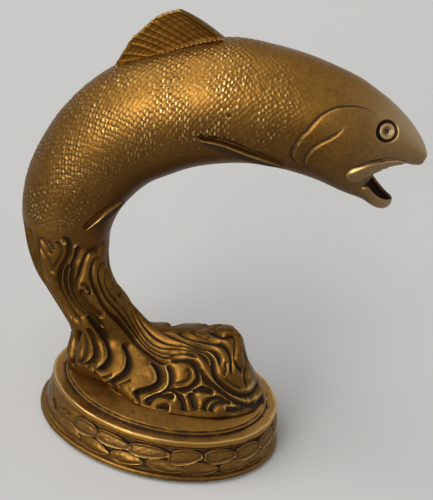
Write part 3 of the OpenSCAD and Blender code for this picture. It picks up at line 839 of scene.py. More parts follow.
def grain_group() -> NodeTree:
    """Builds the group for the sandy grain, hair scratches and small dents of a handled casting.

    Returns:
        The group's tree.
    """
    group = Group("cast_grain", {}, ("Height", "Scuff"))
    vector = group.inlet.outputs["Vector"]
    sand = group.noise(vector, 2600.0, 3.0)
    dent = group.noise(vector, 420.0, 3.0)
    stretched = group.node("Mapping", {"Vector": vector, "Rotation": (0.3, 0.5, 0.2),
                                       "Scale": (1.0, 9.0, 6.0)})
    scratch = group.noise(stretched.outputs["Vector"], 300.0, 2.0)
    height = group.sums("MULTIPLY_ADD", sand, 0.35, group.sums("MULTIPLY", dent, 0.65))
    group.feed(group.outlet, {"Height": height, "Scuff": group.ramp(scratch, 0.52, 0.68)})
    return group.tree


class Coat(Tree):
    """A material under construction round its Principled shader."""

    def __init__(self, name: str) -> None:
        """Starts the material.

        Args:
            name: Name of the material.
        """
        self.made = bpy.data.materials.new(name)
        self.made.use_nodes = True
        super().__init__(self.made.node_tree)
        self.shader = self.tree.nodes["Principled BSDF"]

    @cached_property
    def place(self) -> Socket:
        """The place on the piece, in its own axes."""
        return self.node("TexCoord").outputs["Object"]

    def grouped(self, group: NodeTree) -> Node:
        """Adds a shared group that reads its textures at the place, and returns its node."""
        return self.node("Group", {"Vector": self.place}, node_tree=group)

    def mask(self, name: str) -> Socket:
        """Returns a number that the mesh holds."""
        return self.node("Attribute", attribute_name=name).outputs["Fac"]

    def bump(self, height: Socket, strength: float, distance: float) -> None:
        """Tilts the shader's normals by a height."""
        bump = self.node("Bump", {"Height": height, "Strength": strength, "Distance": distance})
        self.feed(self.shader, {"Normal": bump.outputs["Normal"]})


@dataclass(frozen=True)
class AgedBrass:
    """Antiqued brass: dark in the hollows, brown on the flats and rubbed bright on the edges, with painted
    highlights and painted shade where a piece's masks hold them.

    Attributes:
        name: Name of the material.
        body: Colour of the flats.
        patch: Colour of the older, browner patches, and of the painted shade on the belly, the jaw and the
            tail.
        dark: Colour of the recesses, and of the painted shade in the mouth and on the side fins.
        bright: Colour of the rubbed edges, and of the painted highlights on the leaves, the bead, the lips
            and the side fins' ridges.
        grey: Colour of the parts that are paler and greyer all over.
        roughness: Roughness of the flats.
        recess: Relief at which the dark starts and is full.
        worn: Relief at which the bright starts and is full.
        grain: Strength of the cast grain.
        grain_deep: Depth of the cast grain.
    """

    name: str
    body: Colour = (0.222, 0.108, 0.020)
    patch: Colour = (0.115, 0.052, 0.010)
    dark: Colour = (0.030, 0.014, 0.004)
    bright: Colour = (0.68, 0.46, 0.16)
    grey: Colour = (0.35, 0.255, 0.14)
    roughness: float = 0.4
    recess: tuple[float, float] = (-0.06, -0.8)
    worn: tuple[float, float] = (0.25, 1.0)
    grain: float = 0.22
    grain_deep: float = 0.1 * MM

    def material(self, tarnish: NodeTree, grain: NodeTree) -> Material:
        """Builds the material from the shared groups.

        Args:
            tarnish: Group that turns relief into recesses and rubbed edges.
            grain: Group of the cast grain.

        Returns:
            The material.
        """
        coat = Coat(self.name)
        age, skin = coat.grouped(tarnish), coat.grouped(grain)
        coat.feed(age, {"Relief": coat.mask("relief"),
                        "Recess from": self.recess[0], "Recess to": self.recess[1],
                        "Worn from": self.worn[0], "Worn to": self.worn[1]})
        recess, worn = age.outputs["Recess"], age.outputs["Worn"]
        # Browner patches from noise, plus the painted shade that the mesh's mask holds.
        brown = coat.sums("ADD", age.outputs["Patch"], coat.mask("age"), clamp=True)
        colour = (*self.body, 1)
        # On some pieces the worn and recess masks hold painted highlights and painted shade.
        for paint, mask in ((self.patch, brown), (self.grey, coat.mask("zone")), (self.bright, worn),
                            (self.dark, recess)):
            colour = coat.mixed(colour, paint, mask)
        dull = coat.sums("MULTIPLY_ADD", recess, 0.3, self.roughness)
        coat.feed(coat.shader, {
            "Base Color": colour,
            "Roughness": coat.sums("ADD", dull, coat.sums("MULTIPLY_ADD", worn, -0.14, 0.0)),
            "Metallic": coat.sums("MULTIPLY_ADD", recess, -0.3, 0.97)})
        coat.bump(skin.outputs["Height"], self.grain, self.grain_deep)
        return coat.made


@dataclass(frozen=True)
class PlainMetal:
    """Turned or milled metal out of sight in the base: even, with fine tool marks."""

    name: str
    colour: Colour
    roughness: float = 0.35

    def material(self, grain: NodeTree) -> Material:
        """Builds the material.

        Args:
            grain: Group of the cast grain.

        Returns:
            The material.
        """
        coat = Coat(self.name)
        skin = coat.grouped(grain)
        worn = tuple(0.7 * value for value in self.colour)
        coat.feed(coat.shader, {"Base Color": coat.mixed((*self.colour, 1), worn, skin.outputs["Scuff"]),
                                "Metallic": 1, "Roughness": self.roughness})
        coat.bump(skin.outputs["Height"], 0.2, 0.05 * MM)
        return coat.made


@dataclass(frozen=True)
class Felt:
    """Pressed wool felt: matted fibres with paler fuzz."""

    name: str = "felt"
    colour: Colour = (0.045, 0.07, 0.04)
    fuzz: Colour = (0.10, 0.14, 0.085)

    def material(self) -> Material:
        """Builds the material.

        Returns:
            The material.
        """
        coat = Coat(self.name)
        fibre = coat.noise(coat.place, 2200, 4, 2.5)
        coat.feed(coat.shader, {"Base Color": coat.mixed((*self.colour, 1), self.fuzz, fibre),
                                "Roughness": 0.95, "Sheen Weight": 0.5})
        coat.bump(fibre, 0.8, 0.15 * MM)
        return coat.made


# The fish

HEAD_SHARES = (
    (0.5245, 0.811, 0.5250, 0.793, 0.035, 0.5),
    (0.5140, 0.830, 0.5185, 0.779, 0.105, 0.45),
    (0.4935, 0.855, 0.5010, 0.774, 0.160, 0.42),
    (0.4655, 0.881, 0.4777, 0.774, 0.210, 0.42),
    (0.4340, 0.905, 0.4499, 0.770, 0.250, 0.43),
    (0.3990, 0.927, 0.4174, 0.756, 0.282, 0.44))
BODY_SHARES = (
    (0.3738, 0.9395, 0.3850, 0.6570, 0.323, 0.52),
    (0.3200, 0.9635, 0.3247, 0.6695, 0.368, 0.51),
    (0.2505, 0.9810, 0.2551, 0.6830, 0.412, 0.50),
    (0.1716, 0.9945, 0.1763, 0.6905, 0.449, 0.50),
    (0.0835, 1.0000, 0.0974, 0.6877, 0.478, 0.50),
    (-0.0046, 0.9972, 0.0232, 0.6703, 0.496, 0.50),
    (-0.0928, 0.9680, -0.0464, 0.6429, 0.500, 0.50),
    (-0.1855, 0.9231, -0.1039, 0.6062, 0.493, 0.50),
    (-0.2737, 0.8727, -0.1484, 0.5723, 0.482, 0.50),
    (-0.3479, 0.8013, -0.1855, 0.5238, 0.467, 0.50),
    (-0.4082, 0.7125, -0.2115, 0.4744, 0.452, 0.50),
    (-0.4471, 0.6200, -0.2236, 0.4322, 0.438, 0.50),
    (-0.4675, 0.5421, -0.2282, 0.4002, 0.416, 0.50),
    (-0.4731, 0.4689, -0.2273, 0.3773, 0.401, 0.50),
    (-0.4675, 0.4094, -0.2254, 0.3617, 0.386, 0.50))
# Station on the whole fish of the trunk's first section; the head's last one is a station before it
TRUNK = 6.0
RIM = TRUNK + len(BODY_SHARES) - 1

# Rear edge of the gill cover, from above the eye down to the throat, as angles and their stations
GILL_EDGE = (
    (41, 43, 44.5, 48, 52, 56, 62, 70, 79, 87, 95, 104, 113, 120, 127, 132, 136, 144, 153),
    (5.0, 6.41, 6.73, 7.14, 7.46, 7.74, 8.01, 8.26, 8.44, 8.56, 8.71, 8.83, 8.88, 8.86, 8.74, 8.58, 8.41,
     8.05, 7.6))

# Lines of the head, traced in the photograph as pixels: the gill cover's edge, the cheek, and the upper lip
HEAD_LINES = (
    (Groove(0.3 * MM, 0.26 * MM, 0.7 * MM, 0.08 * MM, fade=0.34, soft=0.65), (
      (365, 108.4, 354.7, 106.3, 345.5, 106.3, 337.3, 107.3, 328.2, 110.9, 319, 116.7, 311.8, 124.2,
       305.7, 130.8, 299.6, 137.4, 294, 144.6, 290.4, 151.2, 289.9, 156.3, 293, 161.9, 297, 166,
       301.6, 169.4),)),
    (Groove(0.26 * MM, 0.26 * MM, 1.5 * MM, 0.08 * MM, 0.22 * MM, 3.2 * MM, 0.3, 0.75), (
      (308.3, 170, 305.2, 163.5, 305.7, 157.9, 308.8, 152.8, 313.9, 147.7, 321, 143.1, 331.2, 138,
       338.4, 133.4, 343, 128.8, 345.5, 125.2),)),
    (Groove(0.36 * MM, 0.3 * MM, 0.6 * MM, fade=0.2), (
      (344.3, 180.5, 345.2, 176, 348.6, 172.1, 353.7, 169.1, 359.8, 166, 365.9, 163.7, 372, 161.9,
       382.2, 160.4, 391.4, 159.4, 400, 159),)))

# Outline of the upper lip's plate, its upper and its lower edge, traced from its rear end to its front
LIP_TOP = ((345, 177.8), (346, 173.4), (350.6, 169.8), (356.7, 167.2), (364.9, 165.1), (373.1, 162.9),
           (382.2, 161.5), (391.4, 160.5), (400.6, 160.3), (405.7, 161.6))
LIP_LOW = ((345, 178.8), (350.6, 181.8), (358.8, 181.8), (365.9, 178.8), (373.1, 174.2), (379.2, 171.4),
           (387.3, 167.8), (394.5, 165.7), (401.6, 164.6), (405.7, 162.8))

# Where the scales end above the water, as angles and their stations
SCALE_END = (
    (0, 48, 64, 76, 91, 103, 117, 131, 147, 159, 180),
    (19.6, 19.85, 19.8, 19.55, 19.25, 18.66, 17.93, 17.96, 18.39, 19.19, 19.6))

# Hollows along the leading edges of the side fins, as stations and angles
SEAM_LINES = ((Groove(0.3 * MM, 0.3 * MM, 0.3 * MM, fade=0.1), (
        (8.8, 142, 9.95, 125, 10.9, 111, 11.95, 103),
        (15.25, 147, 16.25, 133, 17.0, 125, 18.05, 117))),)


@dataclass
class Fish:
    """The trout: head, trunk, jaw, eyes and fins.

    Attributes:
        span: Length from the rear of the arched back to the snout.
        rise: Height of the back's crown above the seat.
        width: Width of the body at its thickest.
        seat: Height of the seat of the water.
        scales: Scales round the body.
        scale_points: Points round the body for each scale.
        scale_deep: Depth of the hollows between scales.
        ring_gap: Distance between rings along the flank.
        gill_rise: How far the gill covers stand proud.
        socket_r: Radius of an eye's socket.
        socket_deep: Depth of an eye's socket.
        roof_deep: Depth of the hollow in the roof of the mouth.
        chip: Station and angle of the small chip in the right flank.
        splits: Stations at which the head and the trunk end.
    """

    span: float = 107.8 * MM
    rise: float = 109.2 * MM
    width: float = 27.2 * MM
    seat: float = 16.8 * MM
    scales: int = 58
    scale_points: int = 7
    scale_deep: float = 0.27 * MM
    ring_gap: float = 0.28 * MM
    gill_rise: float = 0.5 * MM
    eye_station: float = 4.85
    eye_angle: float = 65.0
    socket_r: float = 3.25 * MM
    socket_deep: float = 1.2 * MM
    roof_deep: float = 1.5 * MM
    chip: tuple[float, float] = (TRUNK + 4.9, -86)
    splits: tuple[float, float] = (10.2, 14.2)

    def skin(self, shares: Sequence, station: Array, angle: Array) -> Array:
        """Reads the plain skin over rows of sections.

        Args:
            shares: The sections.
            station: Places along them.
            angle: Angles down from the back, in degrees.

        Returns:
            The points.
        """
        row = along(shares, station)
        zero = np.zeros_like(row[..., 0])
        back = np.stack([row[..., 0] * self.span, zero, self.seat + row[..., 1] * self.rise], -1)
        belly = np.stack([row[..., 2] * self.span, zero, self.seat + row[..., 3] * self.rise], -1)
        middle = belly + (back - belly) * row[..., 5:6]
        turn = np.radians(angle)
        up, out = np.cos(turn)[..., None], np.sin(turn)
        arm = np.where(up >= 0, back - middle, middle - belly)
        made = middle + arm * up
        made[..., 1] = out * row[..., 4] * self.width
        return made

    def point(self, station: Array, angle: Array) -> Array:
        """Reads the plain skin of the whole fish.

        Args:
            station: Places from the snout at 0 to the rim in the water.
            angle: Angles down from the back, in degrees.

        Returns:
            The points.
        """
        station, angle = np.broadcast_arrays(np.asarray(station, float), np.asarray(angle, float))
        head = self.skin(HEAD_SHARES, np.minimum(station, 5), angle)
        trunk = self.skin(BODY_SHARES, np.maximum(station - TRUNK, 0), angle)
        blend = np.clip(station - 5, 0, 1)[..., None]
        return head * (1 - blend) + trunk * blend

    def facing(self, station: Array, angle: Array, step: float) -> Array:
        """Returns the outward directions of the skin.

        Args:
            station: Places along the fish.
            angle: Angles down from the back, negative on the right.
            step: Distance on each side over which the skin is read, in stations.

        Returns:
            The directions, at length 1.
        """
        ahead = self.point(station + step, angle) - self.point(station - step, angle)
        down = self.point(station, angle + 1) - self.point(station, angle - 1)
        out = unit(np.cross(down, ahead))
        return out * np.where(out[..., 1] * angle < 0, -1, 1)[..., None]

    def eye_seat(self, side: Side) -> tuple[Array, Array]:
        """Returns the eye's place and direction on one side."""
        angle = side.value * self.eye_angle
        return self.point(self.eye_station, angle), self.facing(self.eye_station, angle, 0.05)

    def line(self, marks: Array) -> Array:
        """Returns points close together along stations and angles on the right flank."""
        return refined(self.point(marks[:, 0], -marks[:, 1]), 60, 0.18 * MM)

    def casting(self) -> Casting:
        """Builds the rings of the head and trunk, with scales, gill covers and mouth.

        Returns:
            The casting.
        """
        around = int(self.scales * self.scale_points * DETAIL) // 2 * 2
        coarse = np.linspace(0, RIM, 2000)
        places = evened(self.point(coarse, np.full_like(coarse, 90.0)), self.ring_gap / DETAIL)
        station = np.interp(places, np.arange(len(coarse)), coarse)
        angle = np.arange(around) * 360.0 / around
        grid_s, grid_a = np.meshgrid(station, angle, indexing="ij")
        rings, grid_s, grid_a = self.close_snout(self.point(grid_s, grid_a), grid_s, grid_a)
        made = Casting(rings)
        folded = np.where(grid_a > 180, 360 - grid_a, grid_a)
        self.add_scales(made, grid_s, grid_a, folded)
        self.add_head(made, grid_s, folded)
        self.stations = grid_s[:, 0]
        return made

    def close_snout(self, rings: Array, stations: Array, angles: Array) -> tuple[Array, Array, Array]:
        """Adds rings that close the snout with a rounded tip.

        Args:
            rings: The rings.
            stations: Station of every point.
            angles: Angle of every point.

        Returns:
            All three with the tip's rings before them.
        """
        first, middle = rings[0], rings[0].mean(0)
        bulge = 0.25 * MM * unit(middle - rings[4].mean(0))
        steps = np.linspace(math.pi / 2, 0, max(4, int(8 * DETAIL)), endpoint=False)
        tip = [middle + (first - middle) * max(math.cos(t), 0.02) + bulge * math.sin(t) for t in steps]
        held = [np.concatenate([np.repeat(field[:1], len(tip), 0), field]) for field in (stations, angles)]
        return np.concatenate([np.array(tip), rings]), *held

    def add_scales(self, made: Casting, stations: Array, angles: Array, folded: Array) -> None:
        """Works overlapping scales into the trunk; they fade towards the head.

        Args:
            made: The casting.
            stations: Station of every point.
            angles: Angle of every point.
            folded: The same on either side of the back.
        """
        girth = np.linalg.norm(np.diff(made.rings, axis=1, append=made.rings[:, :1]), axis=2).sum(1)
        middle = len(angles[0]) // 4
        flank = np.linalg.norm(np.diff(made.rings[:, middle], axis=0, prepend=made.rings[:1, middle]), axis=1)
        row = np.cumsum(flank / (girth / self.scales / 2))[:, None] + 0 * angles
        column = self.scales * angles / 360
        height = self.scale_height(column, row)
        seen = eased((stations - TRUNK - 1.3 - 1.2 * eased((70 - folded) / 60)) / 2.6)
        seen = seen * (1 - 0.8 * eased((folded - 98) / 40))
        seen = seen * eased((np.interp(folded, *SCALE_END) - stations) / 0.5)
        uneven = lumps(made.rings.reshape(-1, 3), 9 * MM, 31).reshape(seen.shape)
        made.height += self.scale_deep * (height - 1) * seen * (0.85 + 0.3 * uneven)

    def scale_height(self, column: Array, row: Array) -> Array:
        """Works out the height of the scale that shows at each place.

        Args:
            column: Places round the body, in scales.
            row: Places along it, in half scales.

        Returns:
            Heights from 0 to 1.
        """
        reach = 0.68
        shown = np.full(column.shape, np.nan)
        start = np.floor(row)
        for step in (-1, 0, 1, 2):
            number = start + step
            shift = 0.5 * (number % 2)
            place = np.round(column - shift)
            chance = np.modf(np.abs(np.sin(place * 12.9898 + number * 78.233)) * 437.585)[0]
            across = column - shift - place + 0.3 * (chance - 0.5)
            ahead = (row - number) / 2 + 0.34 * (np.modf(chance * 7.7)[0] - 0.5)
            gap = np.sqrt(across ** 2 + ahead ** 2)
            dome = 0.4 + 0.32 * chance + (0.3 + 0.3 * chance) * ahead / reach - 0.9 * across ** 2
            value = dome * (0.3 + 0.7 * eased((reach - gap) / 0.26))
            shown = np.where(np.isnan(shown) & (gap < reach), value, shown)
        return np.clip(np.nan_to_num(shown, nan=0.15), 0, 1)

    def add_head(self, made: Casting, stations: Array, folded: Array) -> None:
        """Carves the gill covers, cheeks, lips, eye sockets and the roof of the mouth.

        Args:
            made: The casting.
            stations: Station of every point.
            folded: Angle of every point on either side of the back.
        """
        made.height += self.gill_rise * self.cover(stations, folded)
        made.carve(Photo().traced([made.rings], HEAD_LINES)
                   + [(groove, self.line(marks)) for groove, marks in lines_of(SEAM_LINES)])
        for side in Side:
            gap = np.linalg.norm(made.rings - self.eye_seat(side)[0], axis=2)
            made.height -= self.socket_deep * eased((self.socket_r - gap) / (0.6 * MM))
            made.height += 0.05 * MM * np.exp(-((gap - self.socket_r - 0.5 * MM) / (0.6 * MM)) ** 2)
        roof = eased((folded - 138) / 22) * eased((stations - 0.6) / 1.5) * eased((6.1 - stations) / 0.4)
        made.height -= self.roof_deep * roof
        # The inside of the mouth, which gets painted shade.
        inside = eased((stations - 0.9) / 0.8) * eased((6.35 - stations) / 0.3)
        self.mouth = eased((folded - 128) / 14) * inside
        gap = np.linalg.norm(made.rings - self.point(*self.chip), axis=2)
        made.height -= 0.4 * MM * np.exp(-(gap / (0.45 * MM)) ** 2)
        made.height += 0.4 * MM * np.exp(-((stations - 6.7) / 0.8) ** 2) * eased((folded - 115) / 40)
        front = eased((8.5 - stations) / 6.0)
        # The head greyer and paler, most on its top.
        made.zone = 0.95 * front * (1 - 0.62 * eased((folded - 35) / 40))
        # Painted shade: browner and darker on the belly, the lower head and the tail towards the water, and
        # lighter on the top of the head.
        made.age = 0.85 * eased((folded - 62) / 65) + 0.35 * eased((stations - 14) / 5)
        made.age += front * (0.25 * eased((folded - 50) / 30) - 0.35 * eased((60 - folded) / 30))

    def cover(self, stations: Array, folded: Array) -> Array:
        """Returns how far the gill cover stands proud at stations and angles, from 0 to 1."""
        ends = eased((stations - 5.2) / 1.8) * eased((folded - 38) / 12) * eased((150 - folded) / 34)
        return eased((np.interp(folded, *GILL_EDGE, left=5.0) - stations) / 0.14) * ends


def dress_fish(fish: Fish, made: Casting, lines: Lines, skin: Material) -> None:
    """Makes the head and trunk.

    Args:
        fish: The fish.
        made: Its casting.
        lines: The water's lines, whose upper ends run out over the tail.
        skin: Its material.
    """
    made.carve(lines, DRIFT)
    wear = made.wear((2, 0.085 * MM), (8, 0.5 * MM))
    front = eased((9.5 - fish.stations) / 1.0)[:, None]
    wear = np.where(wear > 0, wear * (1 - 0.6 * front), wear * (1 - 0.15 * front))
    # Painted shade: the inside of the mouth held dark.
    wear = np.where(fish.mouth > 0.02, np.minimum(wear, 0.4 - 1.6 * fish.mouth), wear)
    splits = (0, *np.searchsorted(fish.stations, fish.splits).tolist(), len(made.rings) - 1)
    made.dress(("fish_head", "fish_trunk", "fish_tail"), splits, wear, "fish_brass", skin, "fish_body")


def dress_lips(made: Casting, metal: Material) -> None:
    """Makes the upper lip's plates, which hang past the edge of the mouth on both sides.

    Args:
        made: The fish's casting.
        metal: Their material.
    """
    photo, tree = Photo(), tree_of([made.worked()])
    u, v = unit_grid(70, 18)
    last = len(LIP_TOP) - 1
    pixels = along(LIP_TOP, u * last) * (1 - v[..., None]) + along(LIP_LOW, u * last) * v[..., None]
    eye, points = np.array(photo.place()), np.zeros((*u.shape, 3))
    for row, line in enumerate(pixels):
        before = None
        for column, px in enumerate(line):
            ray = photo.ray(tuple(px))
            hit = tree.ray_cast(photo.place(), ray)[0]
            passed = hit is None or (before is not None and hit.y - before > 0.35 * MM)
            before = before + 0.06 * MM if passed else hit.y
            points[row, column] = eye + np.array(ray) * (before - eye[1]) / ray.y
    points[..., 1] = blurred(points[..., 1], 3, 0)
    ends = np.sqrt(np.clip(1 - (2 * u - 1) ** 6, 0, 1))
    lift = (0.1 + 0.5 * np.clip(1 - (2 * v - 1) ** 4, 0, 1) * ends) * MM
    # Painted highlight along the plate's upper edge, and painted shade along its lower edge.
    rim = np.exp(-((v - 0.12) / 0.08) ** 2) * ends
    relief = 0.5 * rim + 0.1 - 0.5 * eased((v - 0.93) / 0.07)
    for side in Side:
        outer, inner = points.copy(), points.copy()
        outer[..., 1] -= lift
        inner[..., 1] += 1.2 * MM
        turn = (1, -side.value, 1)
        plate = shell(f"lip_plate_{side.name.lower()}", outer * turn, inner * turn)
        for name, values in (("relief", relief), ("zone", 0.25 + 0.3 * u), ("age", 0.5 - 0.1 * u)):
            set_values(plate, name, np.tile(values.ravel(), 2))
        finished(plate, metal, ("fish_body",))


# The jaw's sections from its root to its tip: place along the span, heights of its floor and rim, half width
JAW_SHARES = (
    (0.3560, 0.6680, 0.6980, 0.205),
    (0.3760, 0.6590, 0.7040, 0.236),
    (0.3940, 0.6550, 0.7070, 0.250),
    (0.4130, 0.6470, 0.6910, 0.232),
    (0.4340, 0.6390, 0.6760, 0.190),
    (0.4530, 0.6380, 0.6670, 0.132),
    (0.4650, 0.6440, 0.6660, 0.072),
    (0.4700, 0.6530, 0.6650, 0.030))


@dataclass
class Jaw:
    """The lower jaw: a thin trough, rounded along its rim, with a tongue in its floor.

    Attributes:
        side_t: Thickness of its sides.
        floor_t: Thickness of its floor at the root.
        most: Share of the half width or the height that a wall takes at most.
    """

    fish: Fish
    side_t: float = 1.4 * MM
    floor_t: float = 2.4 * MM
    most: float = 0.6
    rows: int = 46
    across: int = 44

    def dress(self, metal: Material) -> None:
        """Makes the jaw.

        Args:
            metal: Its material.
        """
        fish = self.fish
        station = np.linspace(0, len(JAW_SHARES) - 1, int(self.rows * DETAIL))
        row = along(JAW_SHARES, station)[:, None]
        low, rim = fish.seat + row[..., 1] * fish.rise, fish.seat + row[..., 2] * fish.rise
        wide, tall = row[..., 3] * fish.width, rim - low
        side = np.minimum(self.side_t, wide * self.most)
        tip = station[:, None] / (len(JAW_SHARES) - 1)
        floor = np.minimum(self.floor_t * (1 - 0.6 * tip), tall * self.most)
        turn = np.linspace(0, math.pi, self.across)
        outer = np.stack([row[..., 0] * fish.span + 0 * turn, -wide * np.cos(turn),
                          rim - tall * np.sin(turn)], -1)
        back = turn[::-1]
        tongue = 0.7 * MM * np.exp(-((back - math.pi / 2) / 0.35) ** 2) * eased((0.8 - tip) / 0.3)
        inner = np.stack([row[..., 0] * fish.span + 0 * back, -(wide - side) * np.cos(back),
                          rim - (tall - floor) * np.sin(back) + tongue * np.sin(back)], -1)
        lift = 0.35 * side
        far = [np.stack([row[..., 0] * fish.span, sign * (wide - side * share),
                         rim + lift * math.sin(math.pi * share)], -1)
               for sign, shares in ((1, (0.25, 0.5, 0.75)), (-1, (0.75, 0.5, 0.25))) for share in shares]
        made = Casting(np.concatenate([outer, *far[:3], inner, *far[3:]], axis=1))
        inside, edge = np.zeros((2, *made.height.shape))
        inside[:, self.across + 4:2 * self.across + 2] = 1
        edge[:, self.across:self.across + 3] = edge[:, -3:] = 1
        # Painted shade inside the trough; its rims rubbed bright.
        wear = 0.05 + 0.5 * blurred(edge, 0, 2) - 0.85 * blurred(inside, 0, 2)
        made.zone += 0.1 + 0.45 * tip
        # Painted shade: the jaw darker, most at its root under the head.
        made.age += 0.75 - 0.35 * tip
        made.dress(("jaw_trough",), (0, len(made.rings) - 1), wear, "fish_brass", metal, "lower_jaw")


@dataclass
class Eye:
    """An eye: a disc with a raised ring, a domed iris and a dimpled pupil."""

    fish: Fish
    radius: float = 2.2 * MM
    tall: float = 1.3 * MM
    ring: float = 0.5 * MM
    pupil: float = 1.0 * MM

    def dress(self, side: Side, metal: Material) -> None:
        """Makes the eye of one side.

        Args:
            side: The side.
            metal: Its material.
        """
        r, h, ring, pupil = self.radius, self.tall, self.ring, self.pupil
        profile = smooth_line([
            (0, -0.6 * MM), (0.5 * r, -0.6 * MM), (r * 1.02, -0.5 * MM), (r * 1.04, 0), (r, h * 0.7),
            (r - 0.12 * ring, h * 0.94), (r - 0.5 * ring, h * 1.02), (r - 1.0 * ring, h),
            (r - 1.5 * ring, h * 0.94), (r - 1.9 * ring, h * 0.88), (pupil * 1.15, h * 0.8),
            (pupil * 0.95, h * 0.6), (pupil * 0.75, h * 0.5), (pupil * 0.35, h * 0.5), (0, h * 0.52)], 4)
        made = spun(f"eye_disc_{side.name.lower()}", profile, int(72 * DETAIL))
        place, out = self.fish.eye_seat(side)
        turn = Vector(out).to_track_quat("Z", "Y").to_matrix()
        seat = place - out * self.fish.socket_deep
        points = vertex_array(made)
        set_vertices(made, points @ np.array(turn).T + seat)
        reach = np.linalg.norm(points[:, :2], axis=1)
        ring_at = np.exp(-((reach - (r - 0.9 * ring)) / (0.75 * ring)) ** 4)
        relief = 0.5 * ring_at - 0.65 * (reach < 0.8 * pupil) - 1.3 * (reach > r - 0.02 * MM)
        set_values(made, "relief", relief)
        set_values(made, "zone", np.full(len(points), 0.75))
        finished(made, metal, (f"eye_{side.name.lower()}",))


# The dorsal fin's root on the trunk, as stations, and its edge as shares of the root's length and of the rise
DORSAL_ROOT = (5.25, 8.2)
DORSAL_EDGE = ((1.0, 0.03), (0.964, 0.135), (0.809, 0.54), (0.699, 0.718), (0.594, 0.873), (0.49, 0.985),
               (0.404, 1.0), (0.316, 0.981))


@dataclass
class DorsalFin:
    """The fin on the back: fanned rays, a thick leading edge and a beaded root.

    Attributes:
        rise: Height of its highest ray.
        rays: Number of rays.
        ray_deep: Depth of the hollows between the rays.
        bow: How far the rays bow, as a share of the rise.
        fan: Power by which the rays are closer together at the front of the root.
        sunk: How far the root is bedded into the back.
        notches: Places of the notches in the edge, with their sizes, as shares of the fin.
    """

    fish: Fish
    rise: float = 11.3 * MM
    root_t: float = 2.6 * MM
    edge_t: float = 1.3 * MM
    rays: int = 13
    ray_deep: float = 0.15 * MM
    bow: float = 0.1
    fan: float = 0.64
    sunk: float = 0.7 * MM
    notches: tuple[tuple[float, float, float], ...] = ((0.62, 0.97, 0.05), (0.27, 0.96, 0.045))

    def side_view(self, u: Array, v: Array) -> Array:
        """Draws the fin's middle from the side.

        Args:
            u: Shares along the root from the rear.
            v: Shares up a ray.

        Returns:
            The points.
        """
        front, rear = (self.fish.point(TRUNK + s, 0) for s in DORSAL_ROOT)
        long = np.linalg.norm(rear - front)
        back = (rear - front) / long
        up = np.cross((0.0, 1.0, 0.0), back)
        root_s = DORSAL_ROOT[0] + (DORSAL_ROOT[1] - DORSAL_ROOT[0]) * (1 - u ** self.fan)
        root = self.fish.point(TRUNK + root_s, 0) - up * self.sunk
        edge_at = along(DORSAL_EDGE, u * (len(DORSAL_EDGE) - 1))
        edge = front + back * edge_at[..., :1] * long + up * edge_at[..., 1:] * self.rise
        arch = self.bow * self.rise * 4 * v * (1 - v) * u * u
        return root + (edge - root) * v[..., None] + up * arch[..., None]

    def dress(self, metal: Material) -> None:
        """Makes the fin.

        Args:
            metal: Its material.
        """
        u, v = unit_grid(int(190 * DETAIL), int(64 * DETAIL))
        sway = 0.12 * np.sin(5 * v + 9 * u) * v
        phase = (u * self.rays + sway) % 1 - 0.5
        ray = np.exp(-(phase / 0.15) ** 2) * (0.75 + 0.25 * np.sin(23 * u))
        front = eased((u - 0.91) / 0.04)
        ray = ray * (1 - front) + front
        notch = 0.22 * MM * (1 - ray) * eased((v - 0.8) / 0.2)
        middle = self.side_view(u, v)
        middle = middle + unit(middle[:, :1] - middle[:, -1:]) * notch[..., None]
        half = (self.root_t + (self.edge_t - self.root_t) * v) / 2
        ripple = 0.5 + 0.5 * np.cos(2 * math.pi * v * 7 + 3 * np.sin(6 * u))
        half -= self.ray_deep * (1 - ray) * eased(v / 0.16) * (1 - 0.4 * eased((v - 0.86) / 0.12))
        half -= 0.03 * MM * ripple * (1 - ray)
        half += 0.16 * MM * front * eased(v / 0.2)
        bead = 0.5 + 0.5 * np.cos(2 * math.pi * u ** self.fan * 24)
        half += (0.25 + 0.22 * bead) * MM * np.exp(-((v - 0.085) / 0.035) ** 2)
        blunt = np.sqrt(np.clip(1 - np.clip((v - 0.93) / 0.07, 0, 1) ** 2 * 0.8, 0, 1))
        nose = np.sqrt(np.clip(1 - np.clip((u - 0.975) / 0.025, 0, 1) ** 2 * 0.85, 0, 1))
        half *= blunt * nose
        for ahead, up, size in self.notches:
            half -= 0.3 * MM * np.exp(-(np.hypot((u - ahead) * 2.2, v - up) / size) ** 2)
        aside = np.maximum(half, 0.12 * MM)[..., None] * (0, 1, 0)
        made = shell("dorsal_blade", middle - aside, middle + aside)
        weather(made, 14, 0.2 * MM)
        finished(made, metal, ("dorsal_fin",))


